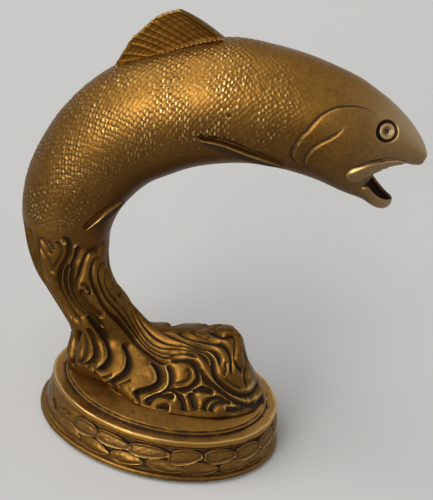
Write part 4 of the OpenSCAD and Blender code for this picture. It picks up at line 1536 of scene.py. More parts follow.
@dataclass(frozen=True)
class FlankFin:
    """A fin that lies along the flank.

    Attributes:
        name: The fin's name.
        edge: Its leading edge from root to tip, as trunk stations and angles down from the back.
        spread: Widest spread of the blade, in degrees.
        thick: Height of the leading edge.
    """

    name: str
    edge: tuple[tuple[float, float], ...]
    spread: float
    thick: float = 1.3 * MM
    rays: int = 6

    def dress(self, fish: Fish, metal: Material) -> None:
        """Makes the fin on both sides.

        Args:
            fish: The fish.
            metal: Its material.
        """
        u, v = unit_grid(int(110 * DETAIL), int(46 * DETAIL))
        edge = along(self.edge, u * (len(self.edge) - 1))
        wide = np.maximum(1.5, self.spread * (1 - u) ** 0.55 * (0.5 + 0.5 * eased(u / 0.25)))
        station = TRUNK + edge[..., 0]
        base = np.sqrt(np.clip(1 - (1 - np.clip(v / 0.07, 0, 1)) ** 2, 0, 1))
        blade = 0.45 * MM + 0.2 * MM * (1 - v)
        ray = 0.5 + 0.5 * np.cos(2 * math.pi * self.rays * v ** 0.8)
        ridge = (self.thick - 0.5 * MM) * np.exp(-((v - 0.09) / 0.075) ** 2)
        lift = base * (blade + ridge + 0.14 * MM * (ray - 1) * eased((v - 0.15) / 0.1))
        lift *= 1 - 0.75 * eased((v - 0.9) / 0.1)
        lift *= 0.4 + 0.6 * eased((1 - u) / 0.08)
        lift *= 0.35 + 0.65 * eased(u / 0.6)
        slit = np.exp(-((u - 0.93) / 0.035) ** 2 - ((v - 0.16) / 0.05) ** 2)
        lift -= 0.5 * MM * slit
        # Painted highlight on the leading edge's ridge, and painted shade on the blade below it and in the
        # slit.
        relief = 0.1 + 0.75 * np.exp(-((v - 0.09) / 0.06) ** 2) - 0.75 * eased((v - 0.2) / 0.12) - 1.2 * slit
        relief = np.concatenate([relief.ravel(), np.full(relief.size, -0.6)])
        for side in Side:
            angle = side.value * (edge[..., 1] + wide * v)
            skin, out = fish.point(station, angle), fish.facing(station, angle, 0.02)
            made = shell(f"{self.name}_blade_{side.name.lower()}", skin + out * lift[..., None],
                         skin - out * 0.6 * MM)
            set_values(made, "relief", relief)
            finished(made, metal, (f"{self.name}_{side.name.lower()}",))


PECTORAL = FlankFin("pectoral_fin", ((3.0, 141), (3.95, 127), (4.9, 113), (5.75, 105)), 27)
PELVIC = FlankFin("pelvic_fin", ((9.35, 148), (10.25, 135), (11.0, 127), (11.9, 119)), 24, 1.1 * MM, 5)


# The water

COLUMN_SHARES = (
    (-0.4415, 0.3180, -0.2160, 0.3060, 0.377),
    (-0.4035, 0.2418, -0.1900, 0.2500, 0.368),
    (-0.3570, 0.1832, -0.1380, 0.1960, 0.366))
SWELL_SHARES = (
    ((-1.143, 0, 0.371), (-1.100, 0.208, 0.357), (-0.967, 0.360, 0.338), (-0.767, 0.420, 0.326),
     (-0.533, 0.350, 0.310), (-0.310, 0.200, 0.340), (-0.180, 0, 0.372)),
    ((-1.033, 0, 0.262), (-1.000, 0.232, 0.248), (-0.867, 0.412, 0.231), (-0.600, 0.504, 0.219),
     (-0.267, 0.412, 0.255), (0.067, 0.230, 0.345), (0.183, 0, 0.408)),
    ((-1.030, 0, 0.176), (-0.993, 0.264, 0.162), (-0.817, 0.480, 0.148), (-0.450, 0.576, 0.143),
     (0.020, 0.480, 0.260), (0.380, 0.290, 0.405), (0.495, 0, 0.498)),
    ((-1.037, 0, 0.100), (-0.987, 0.288, 0.090), (-0.720, 0.500, 0.081), (-0.270, 0.660, 0.081),
     (0.210, 0.570, 0.170), (0.560, 0.330, 0.315), (0.640, 0, 0.425)),
    ((-1.040, 0, 0.038), (-0.950, 0.290, 0.033), (-0.660, 0.480, 0.029), (-0.190, 0.715, 0.029),
     (0.360, 0.625, 0.070), (0.680, 0.365, 0.165), (0.750, 0, 0.245)),
    ((-1.013, 0, 0), (-0.930, 0.270, 0), (-0.630, 0.440, 0), (-0.150, 0.755, 0),
     (0.450, 0.700, 0), (0.860, 0.400, 0), (1.000, 0, 0)))

THIN = Groove(deep=0.8 * MM, wide=0.36 * MM, lee=0.4 * MM, soft=0.6)
STRAND = Groove(deep=1.55 * MM, wide=0.44 * MM, lee=0.55 * MM, soft=0.6, fade=0.09)
FOLD = Groove(deep=1.6 * MM, wide=0.42 * MM, lee=1.0 * MM, bank=0.35 * MM, step=0.45 * MM, soft=0.6)
PIT = Groove(deep=1.7 * MM, wide=0.8 * MM, lee=0.8 * MM, fade=0.3)

# Lines between the water's strands, traced in the photograph as pixels
WATER_LINES = (
    (THIN, (
      (37, 247, 42, 252, 46, 258, 49, 264, 54, 274),
      (39, 238, 44, 243, 48, 249, 51, 255),
      (47, 242, 51, 247, 53, 251),
      (54, 242, 58, 245, 61, 250, 61, 256, 58, 262, 54, 267, 52, 273),
      (38, 262, 43, 273, 49, 283, 55, 293, 61, 302, 68, 313, 74, 322),
      (80, 286, 85, 286, 89, 290, 91, 296),
      (183, 326, 191, 331, 200, 336, 210, 338),
      (248, 352, 252, 362, 255, 371, 257, 380),
      (225, 378, 230, 382, 236, 386, 243, 389),
      (226, 362, 227, 370, 224, 376),
      (186, 368, 190, 373, 189, 379, 184, 383, 177, 384, 171, 386),
      (117, 388, 121, 384, 127, 381, 131, 380),
      (112, 374, 107, 377, 103, 379),
      (82, 333, 85, 343, 85, 352, 82, 360, 78, 365))),
    (STRAND, (
      (60, 238, 64, 239, 68, 243, 69, 250, 68, 257, 65, 263, 61, 269, 59, 275, 58, 283, 60, 292, 64, 300,
       68, 307, 73, 314, 80, 324),
      (70, 264, 67, 269, 65, 276, 65, 285, 67, 294, 71, 302, 76, 308, 82, 313, 88, 319),
      (78, 245, 78, 252, 76, 259, 73, 265, 72, 272, 71, 282, 72, 291, 75, 300, 80, 307, 86, 312, 92, 317,
       100, 325, 106, 331),
      (98, 256, 95, 264, 93, 272, 93, 280, 95, 287, 99, 295, 104, 304, 111, 314, 119, 322, 127, 331,
       134, 339, 141, 346, 148, 352, 156, 358, 163, 362, 170, 361),
      (103, 262, 101, 270, 101, 280, 104, 289, 108, 297, 113, 303, 120, 311, 126, 319, 132, 328, 138, 336,
       145, 344, 152, 350, 160, 354, 168, 355, 176, 355),
      (107, 268, 107, 280, 110, 290, 115, 297, 121, 303, 127, 310, 132, 319, 137, 328, 143, 337, 149, 344,
       157, 349, 166, 352, 176, 352, 185, 351, 193, 355, 199, 358),
      (112, 279, 117, 289, 122, 296, 128, 303, 133, 311, 137, 319, 141, 327, 146, 335, 153, 342, 162, 346,
       172, 347, 183, 347, 192, 349, 199, 352, 205, 357, 209, 363, 211, 370),
      (117, 289, 126, 297, 134, 306, 139, 314, 143, 321, 148, 329, 155, 336, 165, 341, 175, 343, 185, 344,
       195, 347, 203, 351, 209, 356, 213, 362, 214, 370, 216, 377, 221, 384, 228, 390, 237, 394, 247, 396,
       255, 393, 258, 387, 257, 379),
      (140, 309, 146, 315, 152, 321, 159, 327, 167, 332, 176, 337, 186, 341, 197, 345, 207, 348, 215, 353,
       220, 360, 221, 368),
      (160, 321, 168, 326, 176, 330, 184, 335, 192, 338, 201, 340, 212, 342, 222, 344, 228, 349, 232, 356,
       233, 364, 233, 372, 235, 378),
      (243, 346, 245, 355, 247, 366, 246, 377, 249, 387),
      (170, 361, 178, 359, 187, 360, 194, 364, 198, 371, 199, 378, 196, 384, 190, 389, 182, 391, 174, 391),
      (80, 330, 76, 340, 73, 350, 72, 358, 72, 366),
      (166, 389, 174, 391, 180, 397, 184, 405, 184, 411),
      (193, 393, 200, 390, 208, 391, 215, 394),
      (204, 411, 207, 404, 213, 400, 220, 399, 227, 401),
      (211, 412, 214, 406, 220, 402, 228, 402, 234, 404),
      (226, 409, 233, 410, 241, 409, 248, 407),
      (157, 411, 163, 408, 169, 409),
      (147, 404, 152, 399, 159, 396, 168, 396, 175, 398))),
    (FOLD, (
      (84, 315, 91, 323, 101, 335, 106, 342, 109, 350, 109, 357, 106, 363, 101, 368, 96, 371),
      (150, 361, 155, 367, 158, 374, 158, 381, 153, 386, 145, 389, 138, 391, 132, 395),
      (122, 344, 126, 351, 128, 358, 127, 366, 124, 372, 118, 377, 110, 382, 104, 385))),
    (Groove(deep=1.3 * MM, wide=0.5 * MM, lee=0.6 * MM), (
      (103, 240, 100, 249, 95, 252, 90, 254, 86, 260, 83, 268, 80, 276, 77, 282, 75, 290, 78, 299,
       84, 306, 90, 313, 96, 319, 101, 324),)),
    (Groove(deep=1.3 * MM, wide=0.6 * MM, lee=0.6 * MM), (
      (82, 289, 82, 296, 86, 302, 92, 308, 98, 314, 104, 318),)),
    (Groove(deep=1.5 * MM, wide=0.8 * MM, lee=0.42 * MM), (
      (197, 363, 200, 371, 205, 378, 211, 384, 218, 389, 226, 394, 233, 399, 241, 403, 249, 405, 257, 403,
       262, 399, 264, 394),)),
    (Groove(deep=1.4 * MM, wide=0.42 * MM, lee=0.8 * MM, bank=0.25 * MM), (
      (166, 364, 170, 371, 171, 379, 170, 386, 165, 392, 157, 396, 149, 399, 143, 403),)),
    (Groove(deep=1.2 * MM, wide=0.4 * MM, lee=0.7 * MM, bank=0.3 * MM), (
      (86, 328, 91, 336, 94, 344, 95, 351, 94, 357, 90, 362, 84, 366),)),
    (PIT, (
      (191, 391, 192, 398, 195, 405, 197, 411),
      (239, 332, 241, 335, 242, 338),
      (266, 388, 266, 391, 267, 395))))

# Lines out of the photograph's sight, as stations down the water and turns from the rear
HIDDEN_LINES = (
    (STRAND, (
      (0, 0.06, 1.4, 0.075, 2.8, 0.055, 4, 0.07, 5.2, 0.05, 6.6, 0.06, 7.8, 0.05),
      (0, 0.11, 1.2, 0.115, 2.4, 0.095, 3.6, 0.11, 4.8, 0.085, 6.2, 0.095, 7.6, 0.09),
      (5.0, 0.02, 5.8, 0.03, 6.8, 0.02, 8.2, 0.025),
      (5.3, 0.5, 5.9, 0.46, 6.5, 0.475, 7.2, 0.44, 8.0, 0.46))),
    (THIN, (
      (0.1, 0.165, 1.1, 0.145, 2.2, 0.12, 3.3, 0.125),
      (0.3, 0.02, 1.2, 0.03, 2.4, 0.015, 3.6, 0.025, 4.6, 0.01),
      (0.2, 0.48, 1.2, 0.485, 2.2, 0.47, 3.2, 0.478))))

# Raised drops and rounded ends, as a pixel, radius and height
DROPS = (((87, 292), 0.95 * MM, 0.75 * MM), ((92, 371), 1.3 * MM, 0.7 * MM), ((136, 402), 1.2 * MM, 0.5 * MM))


@dataclass
class Water:
    """The water: a twisting column that runs out into swirls and a crest.

    Attributes:
        rim_a: Half length of the plinth's top rim.
        rim_b: Half width of the plinth's top rim.
        oval: Width of the plinth as a share of its length.
        swell: Share of the fish's rise that the swell's heights count in.
        lip: How far the water stands proud of the fish.
        seat_a: Half length of the flat seat on the plinth.
        crown: Fall of the plinth's top from the seat to its rim.
        sunk: How far the water's edge is bedded into the plinth.
        tail: Rings at the fish's end that the lines may run out over.
    """

    fish: Fish
    rim_a: float = 30.0 * MM
    rim_b: float = 25.07 * MM
    oval: float = 61 / 73
    swell: float = 0.385
    lip: float = 0.02 * MM
    seat_a: float = 21.9 * MM
    crown: float = 1.6 * MM
    sunk: float = 0.12 * MM
    rows: int = 340
    around: int = 600
    tail: int = 90

    def control(self, turns: Array) -> Array:
        """Works out the sections that the water's surface runs through.

        Args:
            turns: Where they are read, in turns from the rear round the right side.

        Returns:
            The sections from the rim in the fish down to the plinth.
        """
        fish = self.fish
        rim = fish.point(np.full_like(turns, RIM), -360 * turns)
        rim = rim + unit(rim - rim.mean(0)) * self.lip
        rows = [rim]
        angle = -2 * math.pi * turns
        for share in COLUMN_SHARES:
            rear = np.array([share[0] * fish.span, 0, fish.seat + share[1] * fish.rise])
            front = np.array([share[2] * fish.span, 0, fish.seat + share[3] * fish.rise])
            ring = (rear + front) / 2 + (rear - front) / 2 * np.cos(angle)[:, None]
            ring[:, 1] = share[4] * fish.width * np.sin(angle)
            rows.append(ring)
        scale = np.array([self.rim_a, self.rim_b, self.swell * fish.rise])
        for half in SWELL_SHARES:
            right = np.array(half) * (1, -1, 1)
            closed = np.concatenate([right, np.array(half)[-2:0:-1]])
            rows.append(along(closed, len(closed) * turns, closed=True) * scale + (0, 0, fish.seat))
        return np.array(rows)

    def casting(self) -> Casting:
        """Builds the water's rings, from inside the fish down to its sole on the plinth.

        Returns:
            The casting.
        """
        around = int(self.around * DETAIL)
        turns = np.arange(around) / around
        control = self.control(turns)
        last = len(control) - 1
        flank = along(control[:, around // 4], np.linspace(0, last, 600))
        places = evened(flank, np.linalg.norm(np.diff(flank, axis=0), axis=1).sum() / (self.rows * DETAIL))
        stations = np.interp(places, np.arange(600), np.linspace(0, last, 600))
        made = Casting(along(control, stations))
        self.stations = stations
        return made

    def lines(self, made: Casting, tail: Casting) -> Lines:
        """Finds the lines over the water and over the end of the fish's tail.

        Args:
            made: The water's casting.
            tail: The fish's casting.

        Returns:
            Every line with its groove.
        """
        found = Photo().traced([made.rings, tail.rings[-self.tail:]], WATER_LINES)
        rows, around = made.rings.shape[:2]
        for groove, marks in lines_of(HIDDEN_LINES):
            row = np.interp(marks[:, 0], self.stations, np.arange(rows)).astype(int)
            column = (marks[:, 1] * around).astype(int) % around
            found.append((groove, refined(made.rings[row, column], 40, 0.2 * MM)))
        return found

    def add_drops(self, made: Casting) -> None:
        """Raises the drops on both sides.

        Args:
            made: The water's casting.
        """
        folded = made.rings * right_hand(made.rings)
        spots = Photo().thrown([made.rings], [((x - 0.2, y), (x + 0.2, y)) for (x, y), _, _ in DROPS])
        for (_, radius, height), spot in zip(DROPS, spots):
            gap = np.linalg.norm(folded - spot.mean(0), axis=2) / radius
            made.height += height * np.sqrt(np.clip(1 - gap ** 2, 0, 1))

    def bed(self, made: Casting) -> None:
        """Sets the worked water on the plinth's crown and closes it with a flat sole.

        Args:
            made: The water's casting.
        """
        rings = made.worked()
        foot = rings[-1]
        reach = np.linalg.norm(foot[:, :2] / (1, self.oval), axis=1)
        fall = np.clip((reach - self.seat_a) / (self.rim_a - self.seat_a), 0, None)
        foot[:, 2] = self.fish.seat - self.crown * fall - self.sunk
        sole = foot.copy()
        sole[:, :2] *= np.minimum(1, (self.seat_a - 1.0 * MM) / reach)[:, None]
        sole[:, 2] = self.fish.seat - self.sunk
        made.rings = np.concatenate([rings, sole[None]])
        made.zone, made.age = (np.concatenate([field, field[-1:]]) for field in (made.zone, made.age))
        made.height = np.zeros(made.zone.shape)
        made.normals = made.outward(made.rings)


def dress_water(water: Water, made: Casting, lines: Lines, metal: Material) -> None:
    """Makes the water's pieces.

    Args:
        water: The water.
        made: Its casting.
        lines: Its lines.
        metal: Its material.
    """
    made.carve(lines, DRIFT)
    water.add_drops(made)
    wear = made.wear((2, 0.28 * MM), (9, 0.8 * MM))
    wear = np.concatenate([wear, wear[-1:]])
    made.age += 0.35
    water.bed(made)
    rows = len(made.rings)
    splits = (0, int(rows * 0.36), int(rows * 0.68), rows - 1)
    names = ("water_column_top", "water_swell", "water_foot")
    made.dress(names, splits, wear, "water_brass", metal, "water_column")


# The plinth

@dataclass(frozen=True)
class LeafRow:
    """One of the two rows of leaves round the plinth; heights across it are shares of the band's.

    Attributes:
        name: Name of the row's piece.
        half: Half width of a leaf.
        middle: Height of a leaf's middle.
        lean: How far a leaf's tip is above its middle.
        start: Place of the first leaf, in leaves.
        face: How high a leaf's ground, dome, slope, rim and hollow stand, as shares of its rise.
        painted_light: How much its rim, hollow and dome count in its relief: painted highlights on the rim
            and dome, and a darker hollow.
        knot: Small curls on each side of the rear: distance from it and length in turns, half width,
            middle and lean.
    """

    name: str
    half: float
    middle: float
    lean: float
    start: float
    face: tuple[float, ...]
    painted_light: tuple[float, ...]
    knot: tuple[tuple[float, ...], ...]


LEAF_ROWS = (
    LeafRow("leaves_low", 0.27, 0.25, -0.03, 0.5, (-0.3, 0.6, 0.14, 0.12, 0.0), (0.9, 0.1, 0.45),
            ((0.108, 0.034, 0.15, 0.3, -0.1),)),
    LeafRow("leaves_high", 0.29, 0.72, 0.04, 0.0, (0.0, 0.0, 0.18, 0.34, 0.2), (1.0, 0.45, 0.0),
            ((0.104, 0.03, 0.15, 0.66, 0.1), (0.075, 0.022, 0.1, 0.52, -0.1))))

# Least and most of what is drawn for a leaf: its shift in leaves, length and width as shares of their usual
# ones, and changes of its middle and lean
LEAF_SPREAD = ((-0.1, 0.1), (0.92, 1.16), (0.86, 1.1), (-0.03, 0.03), (-0.08, 0.08))


def rearward(points: Array, start: float, run: float) -> Array:
    """Returns how far points are towards the rear, from 0 to 1 over a run of the cosine from its start."""
    return eased((-start - points[:, 0] / np.linalg.norm(points[:, :2], axis=1)) / run)


@dataclass
class Plinth:
    """The oval plinth: felt, laurel band and moulded cap.

    Attributes:
        foot_a: Half length at the foot.
        leaf_a: Half length at the foot of the leaves.
        band_a: Half length at the top of the leaves.
        leaf_rise: How far the leaves stand proud.
        leaf_count: Leaves in each of the two rows.
        oval: Width as a share of the length.
        inner_a: Half length of the opening that the cap closes.
        leaf_long: Length of a leaf, in leaves.
        plain: How far the plain place at the rear reaches on each side, in turns.
        swell: How far the band swells between its foot and its top.
    """

    oval: float = 61 / 73
    foot_a: float = 36.3 * MM
    leaf_a: float = 35.3 * MM
    band_a: float = 34.0 * MM
    inner_a: float = 31.7 * MM
    felt_t: float = 1.2 * MM
    leaves_low: float = 2.7 * MM
    leaves_top: float = 10.9 * MM
    band_top: float = 11.4 * MM
    bead_r: float = 1.1 * MM
    seat_z: float = 16.8 * MM
    leaf_rise: float = 0.95 * MM
    leaf_count: int = 20
    leaf_long: float = 1.08
    plain: float = 0.125
    swell: float = 0.4 * MM
    around: int = 420

    def oval_of(self, made: Object) -> None:
        """Narrows a round piece to the plinth's oval."""
        set_vertices(made, vertex_array(made) * (1, self.oval, 1))

    def wall(self, up: Array) -> Array:
        """Returns the band's half length at a share of the way up its leaves."""
        return self.leaf_a + (self.band_a - self.leaf_a) * up + self.swell * np.sin(math.pi * up)

    def on_leaves(self, points: Array) -> Array:
        """Returns which points are at the height of the leaves."""
        return (points[:, 2] > self.leaves_low) & (points[:, 2] < self.leaves_top)

    def height_of(self, up: Array) -> Array:
        """Returns the height at a share of the way up the leaves."""
        return self.leaves_low + (self.leaves_top - self.leaves_low) * up

    def ground(self) -> Object:
        """Makes the band behind the leaves, with its plain strips.

        Returns:
            The new object.
        """
        low = [(self.inner_a, self.felt_t), (self.foot_a - 0.3 * MM, self.felt_t),
               (self.foot_a, self.felt_t + 0.12 * MM), (36.5 * MM, 1.8 * MM), (36.46 * MM, 2.15 * MM),
               (36.15 * MM, 2.5 * MM), (35.4 * MM, 2.62 * MM)]
        up = np.linspace(0.02, 0.97, 12)
        wall = [(self.wall(t) - 0.95 * MM, self.height_of(t)) for t in up]
        top = [(33.75 * MM, 10.95 * MM), (33.95 * MM, 11.15 * MM), (33.7 * MM, self.band_top),
               (32.6 * MM, self.band_top + 0.02 * MM), (self.inner_a, self.band_top)]
        profile = smooth_line(low, 4) + smooth_line(wall, 3) + smooth_line(top, 3)
        made = spun("band_ground", profile, int(self.around * DETAIL), ring=True)
        points = vertex_array(made)
        marks = 0.10 * MM * (lumps(points, 3.2 * MM, 21) - 1)
        proud = self.on_leaves(points) * rearward(points, 0.66, 0.12) * (0.75 * MM + marks)
        points[:, :2] *= (1 + proud / self.band_a)[:, None]
        set_vertices(made, points)
        self.oval_of(made)
        roughen(made, 7 * MM, 0.05 * MM, 3)
        roughen(made, 2.2 * MM, 0.05 * MM, 4)
        return made

    def leaf(self, name: str, row: LeafRow, turn: float, long: float, half: float, middle: float,
             lean: float) -> Object:
        """Makes one leaf; on the near side its tip points towards the fish's head.

        Args:
            name: Its name.
            row: The row that it belongs to.
            turn: Its middle, in turns round the band.
            long: Its length, in turns.
            half: Half its width, as a share of the band's height.
            middle: Height of its middle, as a share of the band's.
            lean: How far its tip is above its middle, as such a share.

        Returns:
            The new object.
        """
        p, q = (np.sin((share - 0.5) * math.pi) for share in unit_grid(int(36 * DETAIL), int(30 * DETAIL)))
        wide = np.maximum((1 + p) ** 0.55 * (1 - p) ** 0.8, 0.01)
        up = middle + lean * p + half * wide * q
        edge = np.maximum(np.abs(q), 1.35 * np.abs(p) - 0.42)
        # Painted highlight: the rim is brighter along the leaf's lower edge than along its upper one.
        side = np.where(q < 0, 1.0, 0.3) * eased((p + 0.9) / 0.5)
        rim = np.exp(-((edge - 0.84) / 0.09) ** 2) * side
        dish = np.exp(-((edge - 0.6) / 0.16) ** 2)
        dome = np.exp(-(q / 0.55) ** 2 - ((p - 0.25) / 0.75) ** 2)
        drop = eased((np.maximum(np.abs(q), np.abs(p)) - 0.9) / 0.1)
        flat, domed, sloped, rimmed, dished = row.face
        face = flat + domed * dome + sloped * (p + 1) + rimmed * rim - dished * dish
        face = face * min(1.0, half / 0.22)
        lift = np.minimum(self.leaf_rise * (face * (1 - drop) - 1.2 * drop), 0.55 * self.leaf_rise)
        # Painted highlights on the rim and dome; darker in the hollow and on the sides.
        relief = row.painted_light[0] * rim - row.painted_light[1] * dish + row.painted_light[2] * dome - 0.1 - drop
        made = shell(name, *(self.on_wall(turn + p * long / 2, up, height)
                             for height in (lift, np.full_like(lift, -1.5 * self.leaf_rise))))
        set_values(made, "relief", np.concatenate([relief.ravel(), np.full(relief.size, -1.0)]))
        return made

    def leaves(self, row: LeafRow, draw: np.random.Generator) -> list[Object]:
        """Makes a row of leaves round the band, with a plain place and a small knot at the rear.

        Args:
            row: The row.
            draw: Source of what differs from leaf to leaf.

        Returns:
            The new objects.
        """
        made = []
        for number in range(self.leaf_count):
            turn = (number + row.start) / self.leaf_count
            shift, long, wide, rise, lean = (draw.uniform(*ends) for ends in LEAF_SPREAD)
            if abs(turn - 0.5) < self.plain:
                continue
            made.append(self.leaf(f"{row.name}_{number}", row, turn + shift / self.leaf_count,
                                  self.leaf_long * long / self.leaf_count, row.half * wide, row.middle + rise,
                                  row.lean + lean))
        for sign in (-1, 1):
            for place, *shape in row.knot:
                made.append(self.leaf(f"{row.name}_knot", row, 0.5 + sign * place, *shape))
        return made

    def on_wall(self, turn: Array, up: Array, lift: Array) -> Array:
        """Returns points off the band's wall by a lift, at turns round it and shares of its height."""
        angle, reach = 2 * math.pi * turn, self.wall(up) + lift
        return np.stack([reach * np.cos(angle), reach * self.oval * np.sin(angle), self.height_of(up)], -1)

    def cap(self) -> Object:
        """Makes the moulded cap, from its bead up to the seat of the water.

        Returns:
            The new object.
        """
        bead_a = self.band_a - self.bead_r * 0.8
        middle = self.band_top + self.bead_r
        bead = [(bead_a + self.bead_r * math.sin(t) ** 0.7,
                 middle - self.bead_r * math.copysign(abs(math.cos(t)) ** 0.7, math.cos(t)))
                for t in np.linspace(0.25, math.pi - 0.15, 16)]
        rise = [(30.95, 13.62), (30.55, 13.66), (30.28, 13.78), (30.3, 14.0), (30.52, 14.22), (30.6, 14.4),
                (30.42, 14.56), (30.0, 14.64), (29.78, 14.74), (29.82, 14.95), (29.98, 15.12), (29.7, 15.32),
                (28.6, 15.58), (26.5, 15.98), (24.0, 16.44), (22.2, 16.76), (21.3, 16.8), (14, 16.8),
                (6, 16.8)]
        profile = [(reach, self.band_top - 0.3 * MM) for reach in (0, 18 * MM, bead_a - 0.5 * MM)]
        profile += smooth_line(bead, 2)
        profile += smooth_line([(r * MM, z * MM) for r, z in rise], 4) + [(0, self.seat_z)]
        made = spun("plinth_moulding", profile, int(self.around * DETAIL))
        self.oval_of(made)
        points = vertex_array(made)
        dent = 0.07 * MM * (lumps(points, 6 * MM, 7) - 1) + 0.025 * MM * (lumps(points, 1.5 * MM, 8) - 1)
        dent = np.where(points[:, 2] > self.band_top - 0.1 * MM, dent, 0)
        set_vertices(made, points + vertex_array(made, "normal") * dent[:, None])
        return made

    def felt(self) -> Object:
        """Makes the felt pad, with a soft cut edge.

        Returns:
            The new object.
        """
        pick()
        radius = self.foot_a - 0.9 * MM
        bpy.ops.mesh.primitive_cylinder_add(vertices=int(240 * DETAIL), radius=radius, depth=self.felt_t,
                                            location=(0, 0, self.felt_t / 2))
        made = bpy.context.object
        made.name = made.data.name = "felt_disc"
        bpy.ops.object.transform_apply(location=True, rotation=False, scale=False)
        bpy.ops.object.mode_set(mode="EDIT")
        bpy.ops.mesh.select_mode(type="FACE")
        bpy.ops.mesh.select_all(action="DESELECT")
        bpy.ops.object.mode_set(mode="OBJECT")
        for face in made.data.polygons:
            face.select = abs(face.normal.z) > 0.5
        bpy.ops.object.mode_set(mode="EDIT")
        for step in (0.6, 1.6, 4.0, 8.0):
            bpy.ops.mesh.inset(thickness=step * MM, depth=0, use_individual=True)
        bpy.ops.object.mode_set(mode="OBJECT")
        bevelled(made, 0.22 * MM, 3)
        self.oval_of(made)
        points = vertex_array(made)
        fray = 0.09 * MM * (lumps(points, 1.1 * MM, 12) - 1)
        reach = np.linalg.norm(points[:, :2], axis=1, keepdims=True)
        outer = (np.linalg.norm(points[:, :2] / (1, self.oval), axis=1) > radius - 0.5 * MM)[:, None]
        points[:, :2] += np.where(outer, points[:, :2] / np.maximum(reach, MM) * fray[:, None], 0)
        set_vertices(made, points)
        made.data.shade_smooth()
        return made

    def dress(self, band: Material, cap: Material, felt: Material) -> None:
        """Makes the plinth's pieces.

        Args:
            band: Material of the band and its leaves.
            cap: Material of the cap.
            felt: Material of the pad.
        """
        ground = self.ground()
        points = vertex_array(ground)
        behind = -0.6 + 0.55 * rearward(points, 0.64, 0.15)
        set_values(ground, "relief", np.where(self.on_leaves(points), behind, -0.05))
        finished(ground, band, ("leaf_band",))
        draw = np.random.default_rng(20)
        for seed, row in enumerate(LEAF_ROWS, 5):
            leaves = joined(row.name, self.leaves(row, draw))
            roughen(leaves, 1.7 * MM, 0.08 * MM, seed)
            finished(leaves, band, ("leaf_band",))
        made = self.cap()
        weather(made, 60, 0.16 * MM)
        relief = np.zeros(len(made.data.vertices), np.float32)
        made.data.attributes["relief"].data.foreach_get("value", relief)
        points = vertex_array(made)
        reach = np.linalg.norm(points[:, :2] / (1, self.oval), axis=1)
        # Painted highlight: a thin bright line round the bead's upper edge.
        line = np.exp(-((points[:, 2] - 13.4 * MM) / (0.14 * MM)) ** 2) * (reach > 32.9 * MM)
        relief = np.where(relief > 0, 0.2 * relief, 1.5 * relief) + 0.6 * line
        set_values(made, "relief", np.clip(relief, -1, 1))
        finished(made, cap, ("plinth_cap",))
        finished(self.felt(), felt, ("felt_pad",))


# The stage

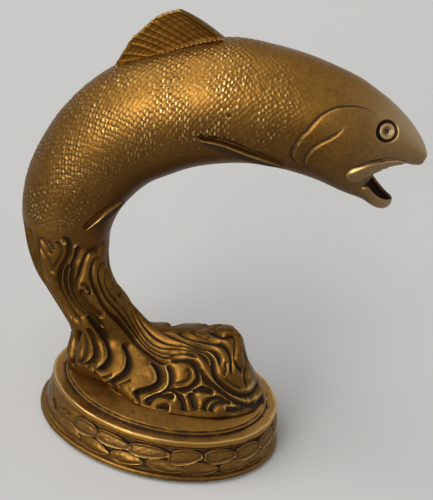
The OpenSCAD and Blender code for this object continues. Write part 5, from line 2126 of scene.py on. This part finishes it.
@dataclass(frozen=True)
class Stage:
    """A plain pale floor that runs into a pale world, and soft studio light.

    Attributes:
        floor: Colour of the floor.
        world: Colour of the world, as the camera and the metal see it.
        glow: Strength at which the world lights everything else.
    """

    floor: Colour = (0.74, 0.735, 0.72)
    world: Colour = (0.70, 0.695, 0.68)
    glow: float = 0.40

    def make(self) -> None:
        """Adds the floor, the world and the lamps."""
        bpy.ops.mesh.primitive_plane_add(size=6)
        floor = bpy.context.object
        floor.name = "floor"
        coat = Coat("pale_floor")
        coat.feed(coat.shader, {"Base Color": (*self.floor, 1), "Roughness": 0.9, "Specular IOR Level": 0.1})
        floor.data.materials.append(coat.made)
        world = bpy.data.worlds.new("studio")
        bpy.context.scene.world = world
        world.use_nodes = True
        sky = Tree(world.node_tree)
        path = sky.node("LightPath").outputs
        seen = path["Is Camera Ray"]
        for name in ("Is Glossy Ray", "Is Transmission Ray"):
            seen = sky.sums("MAXIMUM", seen, path[name])
        strength = sky.node("MapRange", {"Value": seen, "To Min": self.glow, "To Max": 1.0})
        sky.feed(world.node_tree.nodes["Background"],
                 {"Color": (*self.world, 1), "Strength": strength.outputs["Result"]})
        self.sun("window", -112, 9, 26, 2.0)
        self.sun("sky", -145, 52, 60, 1.65)

    def sun(self, name: str, heading: float, height: float, wide: float, strength: float) -> None:
        """Adds one broad soft sun.

        Args:
            name: Its name.
            heading: Where it stands, in degrees from +X.
            height: Degrees above the horizon.
            wide: Degrees across.
            strength: Its strength.
        """
        turn, lift = math.radians(heading), math.radians(height)
        toward = Vector((math.cos(turn) * math.cos(lift), math.sin(turn) * math.cos(lift), math.sin(lift)))
        bpy.ops.object.light_add(type="SUN", location=toward)
        lamp = bpy.context.object
        lamp.name = name
        lamp.data.energy = strength
        lamp.data.angle = math.radians(wide)
        lamp.rotation_euler = toward.to_track_quat("Z", "Y").to_euler()


def main() -> None:
    """Builds the classes in order and reports each piece."""
    logging.basicConfig(level=logging.INFO, format="%(name)s: %(message)s")
    scene = bpy.context.scene
    scene.view_settings.view_transform = "Standard"
    Photo().make()
    Stage().make()
    tarnish, grain = tarnish_group(), grain_group()
    fish_metal = AgedBrass("fish_brass").material(tarnish, grain)
    water_metal = AgedBrass("water_brass", (0.188, 0.089, 0.015), (0.085, 0.038, 0.007),
                            (0.020, 0.010, 0.003), (0.56, 0.36, 0.11), recess=(0.0, -0.65),
                            worn=(0.5, 1.3)).material(tarnish, grain)
    fin_metal = AgedBrass("fin_brass", (0.105, 0.043, 0.005), (0.060, 0.025, 0.003),
                          bright=(0.46, 0.29, 0.09), worn=(0.35, 1.1)).material(tarnish, grain)
    eye_metal = AgedBrass("eye_brass").material(tarnish, grain)
    band_metal = AgedBrass("band_brass", (0.20, 0.100, 0.022), (0.10, 0.047, 0.010)).material(tarnish, grain)
    cap_metal = AgedBrass("plinth_brass", (0.33, 0.165, 0.034), (0.18, 0.086, 0.017)).material(tarnish, grain)
    steel = PlainMetal("steel", (0.55, 0.55, 0.56)).material(grain)
    plate = PlainMetal("plate", (0.5, 0.36, 0.16)).material(grain)
    for node, metal in (("base_plate", plate), ("tie_rod", steel), ("washer", steel), ("nut", steel),
                        ("locating_pins", steel)):
        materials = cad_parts[node].data.materials
        materials.clear()
        materials.append(metal)
    fish = Fish()
    water = Water(fish)
    body, stream = fish.casting(), water.casting()
    lines = water.lines(stream, body)
    dress_fish(fish, body, lines, fish_metal)
    dress_lips(body, fish_metal)
    Jaw(fish).dress(fish_metal)
    for side in Side:
        Eye(fish).dress(side, eye_metal)
    DorsalFin(fish).dress(fin_metal)
    for fin in (PECTORAL, PELVIC):
        fin.dress(fish, fin_metal)
    dress_water(water, stream, lines, water_metal)
    Plinth().dress(band_metal, cap_metal, Felt().material())


if __name__ == "__main__":
    main()
